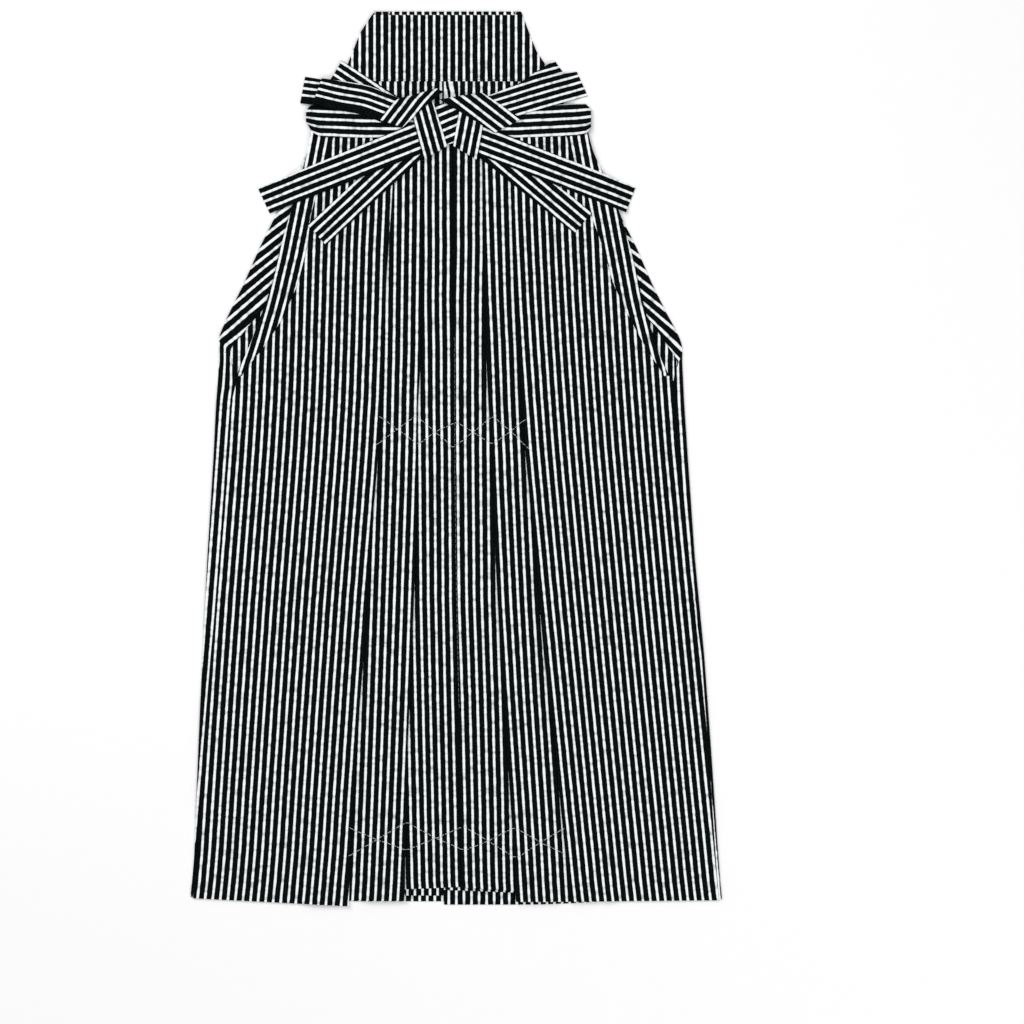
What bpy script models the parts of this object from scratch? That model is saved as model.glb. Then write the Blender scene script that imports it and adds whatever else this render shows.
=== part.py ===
"""Striped hakama trousers, laid flat with the front side up and the ties folded into a crossed bow.

Tables hold millimetres: x from the middle of the garment, up from the lowest hem towards the waist board.
The model is in metres: +X right, +Y towards the waist board, +Z out of the surface that it lies on.
"""

import math

import bmesh
import bpy
import numpy as np
from mathutils import Vector

MM = 0.001
LENGTH = 1072.8
CLOTH = 1.0
GAP = 0.3
LAYER = CLOTH + GAP
TIE_CLOTH = 1.6
BAND_CLOTH = 2.0
BOARD_THICK = 4.5
BOARD_CROWN = 0.8
SEAM_X = -14.4

# Fold: the middle line of the cloth turns round with this radius, in this many steps.
FOLD_RADIUS = LAYER / 2
FOLD_STEPS = 3
# A pleat's hidden fold reaches back under the next strip by this share of that strip's width.
PLEAT_SHARE = 0.6
CENTRE_SHARE = 0.4
RISE_LENGTH = 20.0
RISE_STEPS = (0.33, 0.67)
RISE_START = 1.5
RISE_CLEAR = 2.0

# Crotch: the inner legs reach this far up, and the front sinks onto the back above them.
CROTCH = 420.0
CROTCH_FADE = 120.0
INNER_LEG_PAST_PLEAT = 6.0
INNER_LEG_HEM = 13.5
SLOPE_WIDTH = 16.0
SIDE_LIFT = 16.0
TURNING_FROM = 675.0
TURNING_FULL = 700.0

# Ties: grid steps along and across, how far round a point looks for what it lies on, and its steepest slope.
STEP_ALONG = 9.0
STEP_ACROSS = 10.0
REACH = 10.0
STEEPEST = 0.3
MAP_CELL = 2.0

CLOTH_COLOUR = (0.36, 0.37, 0.38, 1.0)
TIE_COLOUR = (0.30, 0.31, 0.32, 1.0)
BOARD_COLOUR = (0.42, 0.43, 0.44, 1.0)
CLOTH_ROUGHNESS = 0.75

# Back panels: outer folds, and the inner edges of what is turned round to the front.
BACK_COLUMNS = ("up", "left", "left_turning", "right_turning", "right")
BACK_ROWS = (
    (60, -314.2, -311.2, 311.7, 314.7),
    (180, -309.5, -304.4, 303.6, 306.6),
    (300, -304.4, -294.6, 294.9, 297.9),
    (420, -298.2, -283.3, 278.9, 286.4),
    (540, -290.9, -273.0, 267.2, 278.0),
    (600, -288.0, -270.3, 262.0, 274.0),
    (633, -285.5, -263.0, 261.2, 272.3),
    (640, -285.3, -264.8, 263.3, 272.0),
    (655, -284.9, -270.2, 266.8, 271.2),
    (667, -284.6, -274.7, 257.7, 270.4),
    (675, -284.8, -267.8, 252.1, 268.9),
    (692, -280.5, -253.0, 240.2, 261.3),
    (708, -273.8, -238.8, 229.0, 254.4),
    (746, -254.9, -205.5, 202.8, 235.4),
    (790, -235.5, -196.2, 172.0, 216.6),
    (830, -215.6, -186.9, 160.0, 196.5),
    (870, -195.2, -170.9, 143.4, 180.5),
    (920, -172.4, -150.9, 120.9, 153.6),
    (989.4, -139.5, -125.0, 99.8, 114.3),
)
BACK_HEM = {"left": -319.2, "left_turning": -316.0, "right_turning": 316.0, "right": 319.2}
BACK_HEM_UP = {"left_edge": 11.5, "left_middle": 6.0, "right_middle": 2.0, "right_edge": 9.0}

# Front: pleat edges from left to right, and the middle line where the right side lies on the left.
FRONT_COLUMNS = ("up", "pleat_1", "pleat_2", "middle", "pleat_3", "pleat_4")
FRONT_ROWS = (
    (60, -127.0, -60.8, 6.1, 69.8, 131.5),
    (180, -120.4, -58.4, 3.2, 61.6, 119.4),
    (300, -110.6, -52.9, 0.7, 53.4, 105.5),
    (420, -103.6, -48.4, -1.7, 47.2, 95.2),
    (540, -93.3, -46.9, -2.9, 43.3, 83.5),
    (600, -89.8, -45.7, -3.0, 39.0, 79.1),
    (633, -88.5, -43.5, -3.0, 37.4, 77.6),
    (675, -87.0, -41.3, -3.0, 35.8, 75.8),
    (705, -86.0, -41.2, -3.0, 35.2, 74.3),
    (745, -84.0, -41.1, -3.0, 34.4, 72.3),
    (790, -80.8, -40.5, -3.0, 33.5, 70.1),
    (830, -78.0, -39.9, -3.0, 32.6, 68.1),
    (870, -75.7, -39.6, -3.0, 31.7, 66.4),
    (905, -73.8, -39.6, -3.0, 30.9, 65.1),
    (950, -72.2, -39.6, -3.0, 30.1, 63.8),
)
FRONT_HEM = {"pleat_1": -128.4, "pleat_2": -61.2, "middle": 6.6, "pleat_3": 72.0, "pleat_4": 137.4}
SEAM_GAP = 0.5
# Hem heights of the front's strips, each at its outer and its inner side.
LEFT_HEMS = ((9.6, 0.0), (7.0, 7.0), (20.4, 21.5))
RIGHT_HEMS = ((7.2, 5.5), (5.5, 5.5), (18.4, 22.3))

# Side pleats: outer and inner edges.
SIDE_PLEAT_COLUMNS = ("up", "left_outer", "left_inner", "right_inner", "right_outer")
SIDE_PLEAT_ROWS = (
    (636, -262.4, -258.1, 249.9, 254.8),
    (655, -254.2, -243.5, 237.5, 245.3),
    (675, -245.6, -227.0, 224.9, 239.2),
    (705, -234.1, -208.0, 208.5, 228.5),
    (745, -219.8, -190.1, 189.2, 218.5),
    (790, -209.3, -178.7, 176.4, 207.8),
    (830, -198.1, -173.9, 161.7, 196.2),
    (870, -186.8, -163.4, 146.8, 179.7),
    (905, -177.0, -151.9, 137.4, 163.5),
    (930, -172.5, -145.0, 131.0, 157.0),
)
SIDE_PLEAT_PAST_EDGE = 1.0
SIDE_SEAM_TOP = 634.0

BOARD_COLUMNS = ("up", "left", "right")
BOARD_ROWS = (
    (990.0, -139.2, 114.0),
    (1010.4, -129.5, 106.3),
    (1024.8, -123.6, 96.4),
    (1048.8, -114.0, 86.8),
    (1068.0, -101.2, 79.6),
    (1072.8, -97.2, 78.0),
)

BAND_COLUMNS = ("x", "lower", "upper")
BAND_ROWS = (
    (-180, 941, 954),
    (-173, 929, 958),
    (-163, 923, 959),
    (-107, 922, 959),
    (0, 922, 959),
    (73, 922, 960),
    (145, 924, 962),
    (156, 926, 962),
    (162, 935, 956),
)

# Tie stretches in the order that they lie, lowest first. Each is a run of cross lines, from one end to the other,
# and a cross line is the (x, up) of its two ends.
TIES = (
    ("loop_under_left", (((-187, 963), (-181, 995)), ((-146, 958), (-143, 989)))),
    ("back_tie_left", (((-152, 989), (-137, 1014)), ((-86, 947), (-71, 972)))),
    ("back_tie_right", (((89, 962), (74, 986)), ((130, 998), (118, 1015)))),
    (
        "loop_left",
        (
            ((-172, 962), (-161, 993)),
            ((-145, 955), (-133, 989)),
            ((-115, 950), (-104, 984)),
            ((-84, 938), (-65, 968)),
        ),
    ),
    ("loop_right", (((62, 944), (36, 971)), ((112, 959), (89, 992)), ((158, 972), (145, 1001)))),
    ("knot_middle", (((-24, 910), (-31, 958)), ((12, 919), (12, 967)))),
    ("tail_short_left", (((-31, 906), (-54, 905)), ((-156, 793), (-174, 814)))),
    ("tail_short_right", (((19, 905), (38, 905)), ((143, 808), (162, 830)))),
    ("tail_long_left", (((-30, 908), (-38, 942)), ((-224, 832), (-237, 859)))),
    ("tail_long_right", (((17, 905), (23, 938)), ((204, 832), (215, 861)))),
    ("wrap_left", (((-54, 953), (-29, 970)), ((-37, 899), (-12, 912)))),
    ("wrap_right", (((6, 967), (35, 952)), ((-3, 913), (26, 898)))),
    ("cross_right", (((-16, 972), (31, 976)), ((49, 931), (77, 947)))),
    ("cross_left", (((-62, 936), (-90, 946)), ((-38, 958), (-71, 968)), ((-15, 977), (-23, 981)))),
)


def clear_scene():
    for old in list(bpy.data.objects):
        bpy.data.objects.remove(old, do_unlink=True)


def columns_of(names, rows):
    """Each column of a table by name, as an array."""
    return {name: np.array([row[i] for row in rows], float) for i, name in enumerate(names)}


def at(table, name, up):
    return float(np.interp(up, table["up"], table[name]))


def smooth(t):
    t = min(max(t, 0.0), 1.0)
    return t * t * (3.0 - 2.0 * t)


def cloth_material(name, colour):
    material = bpy.data.materials.new(name)
    material.use_nodes = True
    shader = material.node_tree.nodes["Principled BSDF"]
    shader.inputs["Base Color"].default_value = colour
    shader.inputs["Roughness"].default_value = CLOTH_ROUGHNESS
    shader.inputs["Metallic"].default_value = 0.0
    return material


def place(point):
    """A point in millimetres, x, up and height, in the model's metres."""
    return Vector((point[0] * MM, (point[1] - LENGTH / 2) * MM, point[2] * MM))


def wall(name, lower, upper, material):
    """A closed cloth wall between two grids of points, lower and upper, each a list of rows."""
    rows = len(lower)
    across = len(lower[0])
    mesh = bmesh.new()
    below = [[mesh.verts.new(place(p)) for p in row] for row in lower]
    above = [[mesh.verts.new(place(p)) for p in row] for row in upper]
    for i in range(rows - 1):
        for j in range(across - 1):
            mesh.faces.new((above[i][j], above[i][j + 1], above[i + 1][j + 1], above[i + 1][j]))
            mesh.faces.new((below[i][j], below[i + 1][j], below[i + 1][j + 1], below[i][j + 1]))
        for j in (0, across - 1):
            mesh.faces.new((above[i][j], above[i + 1][j], below[i + 1][j], below[i][j]))
    for j in range(across - 1):
        for i in (0, rows - 1):
            mesh.faces.new((above[i][j], above[i][j + 1], below[i][j + 1], below[i][j]))
    bmesh.ops.recalc_face_normals(mesh, faces=mesh.faces)
    data = bpy.data.meshes.new(name)
    mesh.to_mesh(data)
    mesh.free()
    data.materials.append(material)
    piece = bpy.data.objects.new(name, data)
    bpy.context.scene.collection.objects.link(piece)
    return piece


def thicken(rows, thick):
    """Lower and upper grids of a middle surface whose rows bend only in x and height."""
    lower = []
    upper = []
    for row in rows:
        points = np.array(row, float)
        along = np.gradient(points[:, (0, 2)], axis=0)
        along /= np.linalg.norm(along, axis=1)[:, None]
        side = np.stack([-along[:, 1], np.zeros(len(row)), along[:, 0]], axis=1) * thick / 2
        lower.append(points - side)
        upper.append(points + side)
    return lower, upper


class HeightMap:
    """The top of everything laid down so far, in square cells."""

    def __init__(self):
        self.size = 700
        self.tops = np.zeros((self.size, self.size))

    def cell(self, x, up):
        i = np.clip((np.asarray(x) + self.size / 2 * MAP_CELL) / MAP_CELL, 0, self.size - 1)
        j = np.clip((np.asarray(up) + 50.0) / MAP_CELL, 0, self.size - 1)
        return i.astype(int), j.astype(int)

    def lay(self, rows):
        """Records a grid of top points, with the surface between them."""
        grid = np.array(rows, float)
        for a, b in zip(grid[:-1], grid[1:]):
            far = np.linalg.norm((b - a)[:, :2], axis=1).max()
            for s in np.linspace(0.0, 1.0, int(far / MAP_CELL * 2) + 2):
                row = a + (b - a) * s
                for p, q in zip(row[:-1], row[1:]):
                    t = np.linspace(0.0, 1.0, int(np.linalg.norm((q - p)[:2]) / MAP_CELL * 2) + 2)[:, None]
                    line = p + (q - p) * t
                    i, j = self.cell(line[:, 0], line[:, 1])
                    np.maximum.at(self.tops, (i, j), line[:, 2])

    def over(self, x, up, reach):
        i, j = self.cell(x, up)
        r = int(math.ceil(reach / MAP_CELL))
        return float(self.tops[max(i - r, 0) : i + r + 1, max(j - r, 0) : j + r + 1].max())


def draped(plan, laid, reach):
    """Heights at which a grid of (x, up) points lies on the map, with no slope too steep for the cloth."""
    heights = np.array([[laid.over(x, up, reach) for x, up in row] for row in plan])
    heights = np.where(heights > 0.0, heights + GAP, 0.0)
    points = np.array(plan, float)
    along = np.linalg.norm(np.diff(points, axis=0), axis=2) * STEEPEST
    across = np.linalg.norm(np.diff(points, axis=1), axis=2) * STEEPEST
    for _ in range(2):
        for i in range(1, len(points)):
            heights[i] = np.maximum(heights[i], heights[i - 1] - along[i - 1])
        for i in range(len(points) - 2, -1, -1):
            heights[i] = np.maximum(heights[i], heights[i + 1] - along[i])
        for j in range(1, points.shape[1]):
            heights[:, j] = np.maximum(heights[:, j], heights[:, j - 1] - across[:, j - 1])
        for j in range(points.shape[1] - 2, -1, -1):
            heights[:, j] = np.maximum(heights[:, j], heights[:, j + 1] - across[:, j])
    return heights


def laid_strip(name, plan, thick, laid, material, reach=REACH):
    """A flat strip of cloth over a grid of (x, up) points, lying on whatever is there already."""
    heights = draped(plan, laid, reach)
    lower = [[(x, up, h) for (x, up), h in zip(row, line)] for row, line in zip(plan, heights)]
    upper = [[(x, up, h + thick) for x, up, h in row] for row in lower]
    wall(name, lower, upper, material)
    laid.lay(upper)


def turn(x, height, outward):
    """Points of a fold's half circle about (x, height), from its upper to its lower side."""
    angles = [math.pi / 2 - math.pi * k / FOLD_STEPS for k in range(FOLD_STEPS + 1)]
    return [(x + outward * FOLD_RADIUS * math.cos(a), height + FOLD_RADIUS * math.sin(a)) for a in angles]


def back_panel(side, back, laid, material):
    """One leg's back panel, from the middle seam to its outer fold, and round to its turning's edge."""
    outward = -1.0 if side == "left" else 1.0
    seam = SEAM_X + outward * GAP / 2
    rows = []
    ups = [None] + [float(up) for up in back["up"]]
    for up in ups:
        edge = BACK_HEM[side] if up is None else at(back, side, up)
        turning = BACK_HEM[side + "_turning"] if up is None else at(back, side + "_turning", up)
        fold = edge - outward * (FOLD_RADIUS + CLOTH / 2)
        section = [(seam + (fold - seam) * k / 4, CLOTH / 2) for k in range(4)]
        section += turn(fold, CLOTH / 2 + FOLD_RADIUS, outward)[::-1]
        section += [(turning, CLOTH / 2 + LAYER)]
        row = []
        for x, height in section:
            share = (x - seam) / (edge - seam)
            middle = BACK_HEM_UP[side + "_middle"]
            hem = middle + (BACK_HEM_UP[side + "_edge"] - middle) * smooth(share * 2 - 0.6)
            row.append((x, hem if up is None else up, height))
        rows.append(row)
    lower, upper = thicken(rows, CLOTH)
    if side == "left":
        lower, upper = upper, lower
    wall("back_" + side, lower, upper, material)
    laid.lay([[(x, up, height + CLOTH / 2) for x, up, height in row] for row in rows])


def inner_leg(side, front, laid, material):
    """The inner leg panel, flat between front and back, from the hem to the crotch."""
    outward = -1.0 if side == "left" else 1.0
    pleat = "pleat_2" if side == "left" else "pleat_3"
    plan = []
    for up in np.linspace(INNER_LEG_HEM, CROTCH, 5):
        edge = at(front, pleat, up) + outward * INNER_LEG_PAST_PLEAT
        narrowed = edge + (SEAM_X - edge) * 0.25 * up / CROTCH
        start = SEAM_X + outward * GAP / 2
        plan.append([(start + (narrowed - start) * k / 2, up) for k in range(3)])
    lower = [[(x, up, LAYER) for x, up in row] for row in plan]
    upper = [[(x, up, LAYER + CLOTH) for x, up in row] for row in plan]
    wall("inner_leg_" + side, lower, upper, material)
    laid.lay(upper)


def ground_under_front(x, up, front, back):
    """Height of what the front lies on: the back, the inner legs and the turnings of the back."""
    depth = pleat_depths(front, up)
    low = at(front, "pleat_2", up) - depth["pleat_2"] - RISE_CLEAR
    high = at(front, "pleat_3", up) + depth["pleat_3"] + RISE_CLEAR
    outside = max(low - x, x - high, 0.0)
    legs = smooth((CROTCH + CROTCH_FADE - up) / CROTCH_FADE) * (1 - smooth(outside / SLOPE_WIDTH))
    turned = smooth((up - TURNING_FROM) / (TURNING_FULL - TURNING_FROM))
    past_left = x - at(back, "left_turning", up) - SIDE_LIFT
    past_right = at(back, "right_turning", up) - x - SIDE_LIFT
    sides = turned * max(1 - smooth(past_left / SLOPE_WIDTH), 1 - smooth(past_right / SLOPE_WIDTH))
    return LAYER * (1.0 + max(legs, sides))


def pleat_depths(front, up):
    """How far each pleat's hidden fold reaches back from its edge."""
    pleat = {name: at(front, name, up) for name in FRONT_COLUMNS[1:]}
    left = (pleat["pleat_2"] - pleat["pleat_1"]) * PLEAT_SHARE
    right = (pleat["pleat_4"] - pleat["pleat_3"]) * PLEAT_SHARE
    middle = (pleat["pleat_3"] - pleat["middle"]) * CENTRE_SHARE
    return {"pleat_1": left, "pleat_2": left, "middle": middle, "pleat_3": right, "pleat_4": right}


def rising(start, end, strip):
    """A strip's points from the lowest layer up to the top one, as (x, height, strip, share across)."""
    length = min(RISE_LENGTH, end - start)
    first = end - length
    low = CLOTH / 2
    points = [(first, low)]
    points += [(first + length * s, low + 2 * LAYER * smooth(s)) for s in RISE_STEPS]
    points += [(end, low + 2 * LAYER)]
    return [(x, height, strip) for x, height in points]


def pleated_section(edge, folds, depths, last, open_end):
    """The middle line of one side's front, from its outer edge to the middle, with its outside at -x.

    open_end says that the last strip simply runs on to last. Otherwise it folds back there.
    """
    low = CLOTH / 2
    first_rise = folds[0] - depths[0] - RISE_CLEAR - RISE_LENGTH
    section = [(edge + (first_rise - edge) * s, low, 0) for s in (0.0, 0.12, 0.24, 0.36, 0.52, 0.75)]
    start = edge
    stops = list(zip(folds, depths)) if open_end else list(zip(folds + [last[0]], depths + [last[1]]))
    for strip, (fold, depth) in enumerate(stops):
        section += rising(start + RISE_START, fold - depth - RISE_CLEAR, strip)
        outer = fold - FOLD_RADIUS - CLOTH / 2
        section += [(x, h, strip) for x, h in turn(outer, low + 1.5 * LAYER, 1.0)]
        hidden = fold - depth
        if strip == len(stops) - 1 and not open_end:
            section += [(hidden, low + LAYER, strip)]
        else:
            section += [(x, h, strip + 1) for x, h in turn(hidden, low + 0.5 * LAYER, -1.0)]
            start = fold
    if open_end:
        section += [(start + (last[0] - start) * s, low, len(stops)) for s in (0.1, 0.5, 1.0)]
    return section


def front_edge(side, up, back, leaf):
    """The front's side edge: along the back's turning below the side opening, under the side pleat above."""
    if up is None:
        turning = BACK_HEM[side + "_turning"]
    elif up < SIDE_SEAM_TOP:
        turning = at(back, side + "_turning", up)
    else:
        return at(leaf, side + "_outer", up)
    return turning + (SEAM_GAP if side == "left" else -SEAM_GAP)


def hem_height(hems, strip, x, strip_edges):
    outer, inner = hems[strip]
    low, high = strip_edges[strip]
    share = (x - low) / (high - low)
    return outer + (inner - outer) * min(max(share, 0.0), 1.0)


def front_panel(side, front, back, leaf, laid, material):
    """One side of the pleated front. The right side is worked out mirrored, and turned back at the end."""
    mirror = 1.0 if side == "left" else -1.0
    pleats = ("pleat_1", "pleat_2") if side == "left" else ("pleat_4", "pleat_3")
    hems = LEFT_HEMS if side == "left" else RIGHT_HEMS
    rows = []
    for up in [None] + [float(u) for u in front["up"]]:
        at_hem = up is None
        level = 0.0 if at_hem else up
        value = {n: FRONT_HEM[n] if at_hem else at(front, n, level) for n in FRONT_COLUMNS[1:]}
        depth = pleat_depths(front, level)
        edge = front_edge(side, up, back, leaf) * mirror
        folds = [value[name] * mirror for name in pleats]
        depths = [depth[name] for name in pleats]
        middle = value["middle"] * mirror
        if side == "left":
            section = pleated_section(edge, folds, depths, (middle + depth["middle"], 0.0), True)
        else:
            section = pleated_section(edge, folds, depths, (middle, depth["middle"]), False)
        strip_edges = list(zip([edge] + folds, folds + [middle]))
        row = []
        for x, height, strip in section:
            here = hem_height(hems, strip, x, strip_edges) if at_hem else level
            ground = ground_under_front(x * mirror, level, front, back)
            row.append((x * mirror, here, ground + height))
        rows.append(row)
    lower, upper = thicken(rows, CLOTH)
    if side == "right":
        lower, upper = upper, lower
    wall("front_" + side, lower, upper, material)
    laid.lay([[(x, up, height + CLOTH / 2) for x, up, height in row] for row in rows])


def side_pleat(side, leaf, laid, material):
    """The long narrow fold beside a side opening, which narrows to its point at the side seam."""
    outward = -SIDE_PLEAT_PAST_EDGE if side == "left" else SIDE_PLEAT_PAST_EDGE
    plan = []
    for up in leaf["up"]:
        outer = at(leaf, side + "_outer", up) + outward
        inner = at(leaf, side + "_inner", up)
        plan.append([(outer + (inner - outer) * k / 2, up) for k in range(3)])
    laid_strip("sasahida_" + side, plan, CLOTH, laid, material)


def waist_board(board, laid, material):
    """The stiff board on the back waist, flat below and slightly crowned above."""
    lower = []
    upper = []
    last = len(board["up"]) - 1
    for i, up in enumerate(board["up"]):
        left = at(board, "left", up)
        right = at(board, "right", up)
        lower.append([])
        upper.append([])
        for k in range(9):
            x = left + (right - left) * k / 8
            rim = min(k, 8 - k, 2) / 2
            end = min(i, last - i, 1)
            lower[-1].append((x, up, 0.0))
            upper[-1].append((x, up, BOARD_THICK - BOARD_CROWN * (1 - smooth(rim) * end)))
    wall("waist_board", lower, upper, material)
    laid.lay(upper)


def front_band(band, laid, material):
    """The band on the pleated front's top edge. Its ends are folds of the tie."""
    plan = []
    for x, low, high in zip(band["x"], band["lower"], band["upper"]):
        plan.append([(x, low + (high - low) * k / 3) for k in range(4)])
    finer = []
    for a, b in zip(plan[:-1], plan[1:]):
        steps = max(1, int(round((b[0][0] - a[0][0]) / (2 * STEP_ALONG))))
        for s in range(steps):
            t = s / steps
            finer.append([(p[0] + (q[0] - p[0]) * t, p[1] + (q[1] - p[1]) * t) for p, q in zip(a, b)])
    finer.append(plan[-1])
    laid_strip("front_band", finer, BAND_CLOTH, laid, material, reach=2 * STEP_ALONG)


def tie_plan(lines):
    """A grid over a tie stretch: its cross lines, and lines between them."""
    plan = []
    for (a0, a1), (b0, b1) in zip(lines[:-1], lines[1:]):
        far = max(math.dist(a0, b0), math.dist(a1, b1))
        steps = max(1, int(round(far / STEP_ALONG)))
        for s in range(steps):
            t = s / steps
            start = Vector(a0).lerp(Vector(b0), t)
            end = Vector(a1).lerp(Vector(b1), t)
            plan.append((start, end))
    plan.append((Vector(lines[-1][0]), Vector(lines[-1][1])))
    across = int(math.ceil(max((end - start).length for start, end in plan) / STEP_ACROSS))
    return [[tuple(start.lerp(end, k / across)) for k in range(across + 1)] for start, end in plan]


def main():
    clear_scene()
    cloth = cloth_material("panel_cloth", CLOTH_COLOUR)
    tie_cloth = cloth_material("tie_cloth", TIE_COLOUR)
    board_cloth = cloth_material("board_cloth", BOARD_COLOUR)
    back = columns_of(BACK_COLUMNS, BACK_ROWS)
    front = columns_of(FRONT_COLUMNS, FRONT_ROWS)
    leaf = columns_of(SIDE_PLEAT_COLUMNS, SIDE_PLEAT_ROWS)
    laid = HeightMap()
    for side in ("left", "right"):
        back_panel(side, back, laid, cloth)
    for side in ("left", "right"):
        inner_leg(side, front, laid, cloth)
    waist_board(columns_of(BOARD_COLUMNS, BOARD_ROWS), laid, board_cloth)
    for side in ("left", "right"):
        front_panel(side, front, back, leaf, laid, cloth)
    for side in ("left", "right"):
        side_pleat(side, leaf, laid, cloth)
    front_band(columns_of(BAND_COLUMNS, BAND_ROWS), laid, tie_cloth)
    for name, lines in TIES:
        laid_strip(name, tie_plan(lines), TIE_CLOTH, laid, tie_cloth)


main()
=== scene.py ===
"""Striped hakama trousers, laid flat with the front side up and the ties folded into a crossed bow.

Tables hold millimetres: x from the middle of the garment, up from the lowest hem towards the waist board.
Every piece is placed in metres: +X right, +Y towards the waist board, +Z out of the surface that it lies on.
A stripe map holds, for each point of the cloth, its place across the stripes and along the warp, in stripe
pitches.
"""

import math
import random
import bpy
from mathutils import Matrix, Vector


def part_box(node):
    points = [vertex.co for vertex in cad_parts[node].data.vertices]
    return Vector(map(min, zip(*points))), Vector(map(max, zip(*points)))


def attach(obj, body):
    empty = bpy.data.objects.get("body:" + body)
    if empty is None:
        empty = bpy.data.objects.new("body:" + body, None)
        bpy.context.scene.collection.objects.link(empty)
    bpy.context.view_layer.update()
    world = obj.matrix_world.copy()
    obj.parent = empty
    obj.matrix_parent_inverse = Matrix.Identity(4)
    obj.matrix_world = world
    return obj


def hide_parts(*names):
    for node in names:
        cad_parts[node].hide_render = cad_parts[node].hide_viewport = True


bl_info = {
    "name": "Striped Hakama",
    "version": (1, 0, 0),
    "blender": (4, 5, 0),
    "location": "View3D > Sidebar > Hakama",
    "description": "Builds striped hakama trousers, laid flat, with their ties, pleats and basting threads",
    "category": "Add Mesh",
}

import bmesh
import bpy
import numpy as np
from mathutils import Vector

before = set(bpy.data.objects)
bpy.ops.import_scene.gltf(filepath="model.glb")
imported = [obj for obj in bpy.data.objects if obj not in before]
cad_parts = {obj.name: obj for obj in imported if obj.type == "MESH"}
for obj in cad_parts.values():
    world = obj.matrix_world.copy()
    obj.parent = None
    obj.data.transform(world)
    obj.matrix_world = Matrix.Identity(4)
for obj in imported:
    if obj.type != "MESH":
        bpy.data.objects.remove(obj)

MM = 0.001
LENGTH = 1072.8
PITCH = 9.06
CLOTH = 1.0
GAP = 0.3
LAYER = CLOTH + GAP
SEAM_X = -14.4
SIDES = ("left", "right")
OUTWARD = {"left": -1.0, "right": 1.0}
PANEL_RIM = 0.3
SHARP_FROM = math.radians(50)

# Folds: radius of a fold's middle line, and the steps that it turns in.
FOLD_RADIUS = LAYER / 2
FOLD_STEPS = 6
PLEAT_SHARE = 0.6
CENTRE_SHARE = 0.4
RISE_LENGTH = 20.0
RISE_STEPS = 6
RISE_START = 1.5
RISE_CLEAR = 2.0

CROTCH = 420.0
CROTCH_FADE = 120.0
INNER_LEG_PAST_PLEAT = 6.0
# Height of each inner leg's hem, at the middle seam and at its outer edge.
INNER_LEG_HEMS = {"left": (13.0, 13.0), "right": (19.8, 16.2)}
INNER_LEG_NARROWING = 0.25
SLOPE_WIDTH = 16.0
SIDE_LIFT = 16.0
TURNING_FROM = 675.0
TURNING_FULL = 700.0

# Sampling of the cloth: distance between its rows, and how wide the outlines are eased.
ROW_STEP = 8.0
FIRST_ROW = 30.0
FRONT_TOP = 950.0
EASE = 5.0
TIE_STEP = 3.0

BACK_COLUMNS = ("up", "left", "left_turning", "right_turning", "right")
BACK_ROWS = (
    (0, -319.2, -316.0, 316.0, 319.2),
    (60, -314.2, -311.2, 311.7, 314.7),
    (180, -309.5, -304.4, 303.6, 306.6),
    (300, -304.4, -294.6, 294.9, 297.9),
    (420, -298.2, -283.3, 278.9, 286.4),
    (540, -290.9, -273.0, 267.2, 278.0),
    (600, -288.0, -270.3, 262.0, 274.0),
    (633, -285.5, -263.0, 261.2, 272.3),
    (640, -285.3, -264.8, 263.3, 272.0),
    (655, -284.9, -270.2, 266.8, 271.2),
    (667, -284.9, -272.4, 257.7, 271.7),
    (675, -285.2, -265.9, 252.1, 270.6),
    (681, -285.0, -261.2, 247.9, 268.5),
    (692, -280.8, -252.6, 240.2, 263.4),
    (708, -273.8, -238.8, 229.0, 254.4),
    (746, -254.9, -205.5, 202.8, 235.4),
    (790, -235.5, -196.2, 172.0, 216.6),
    (830, -215.6, -186.9, 160.0, 196.5),
    (870, -195.2, -170.9, 143.4, 180.5),
    (920, -172.4, -150.9, 120.9, 153.6),
    (989.4, -139.5, -125.0, 99.8, 114.3),
)
# The back hem's height goes over from its middle's to its edge's with the share of the width, times the gain
# and less the delay.
HEM_GAIN = 2.0
HEM_DELAY = 0.6
BACK_HEM_UP = {"left_edge": 11.5, "left_middle": 6.0, "right_middle": 2.0, "right_edge": 9.0}
# One white stripe of each back panel where it lies flat, and of the narrow wrap beside the front, with the
# wrap's pitch.
BACK_STRIPE_COLUMNS = (
    "up", "left_flat", "right_flat", "left_wrap", "right_wrap", "left_pitch", "right_pitch",
)
BACK_STRIPE_ROWS = (
    (0, 1.8, 0.5, -320.5, 317.0, 9.06, 9.06),
    (127, 1.6, 0.3, -309.8, 306.0, 9.06, 9.06),
    (307, 1.3, -0.2, -294.6, 291.0, 9.06, 9.06),
    (487, 1.0, -0.7, -280.9, 275.3, 9.06, 9.06),
    (607, 2.2, -1.0, -272.4, 267.5, 9.06, 9.06),
    (625, 2.4, -1.0, -269.8, 266.8, 9.06, 9.06),
    (655, 2.5, -1.1, -269.9, 266.0, 7.3, 8.0),
    (720, 2.5, -0.6, -270.5, 266.0, 7.3, 8.0),
    (983, -0.1, 3.4, -270.5, 266.0, 7.3, 8.0),
)
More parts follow.
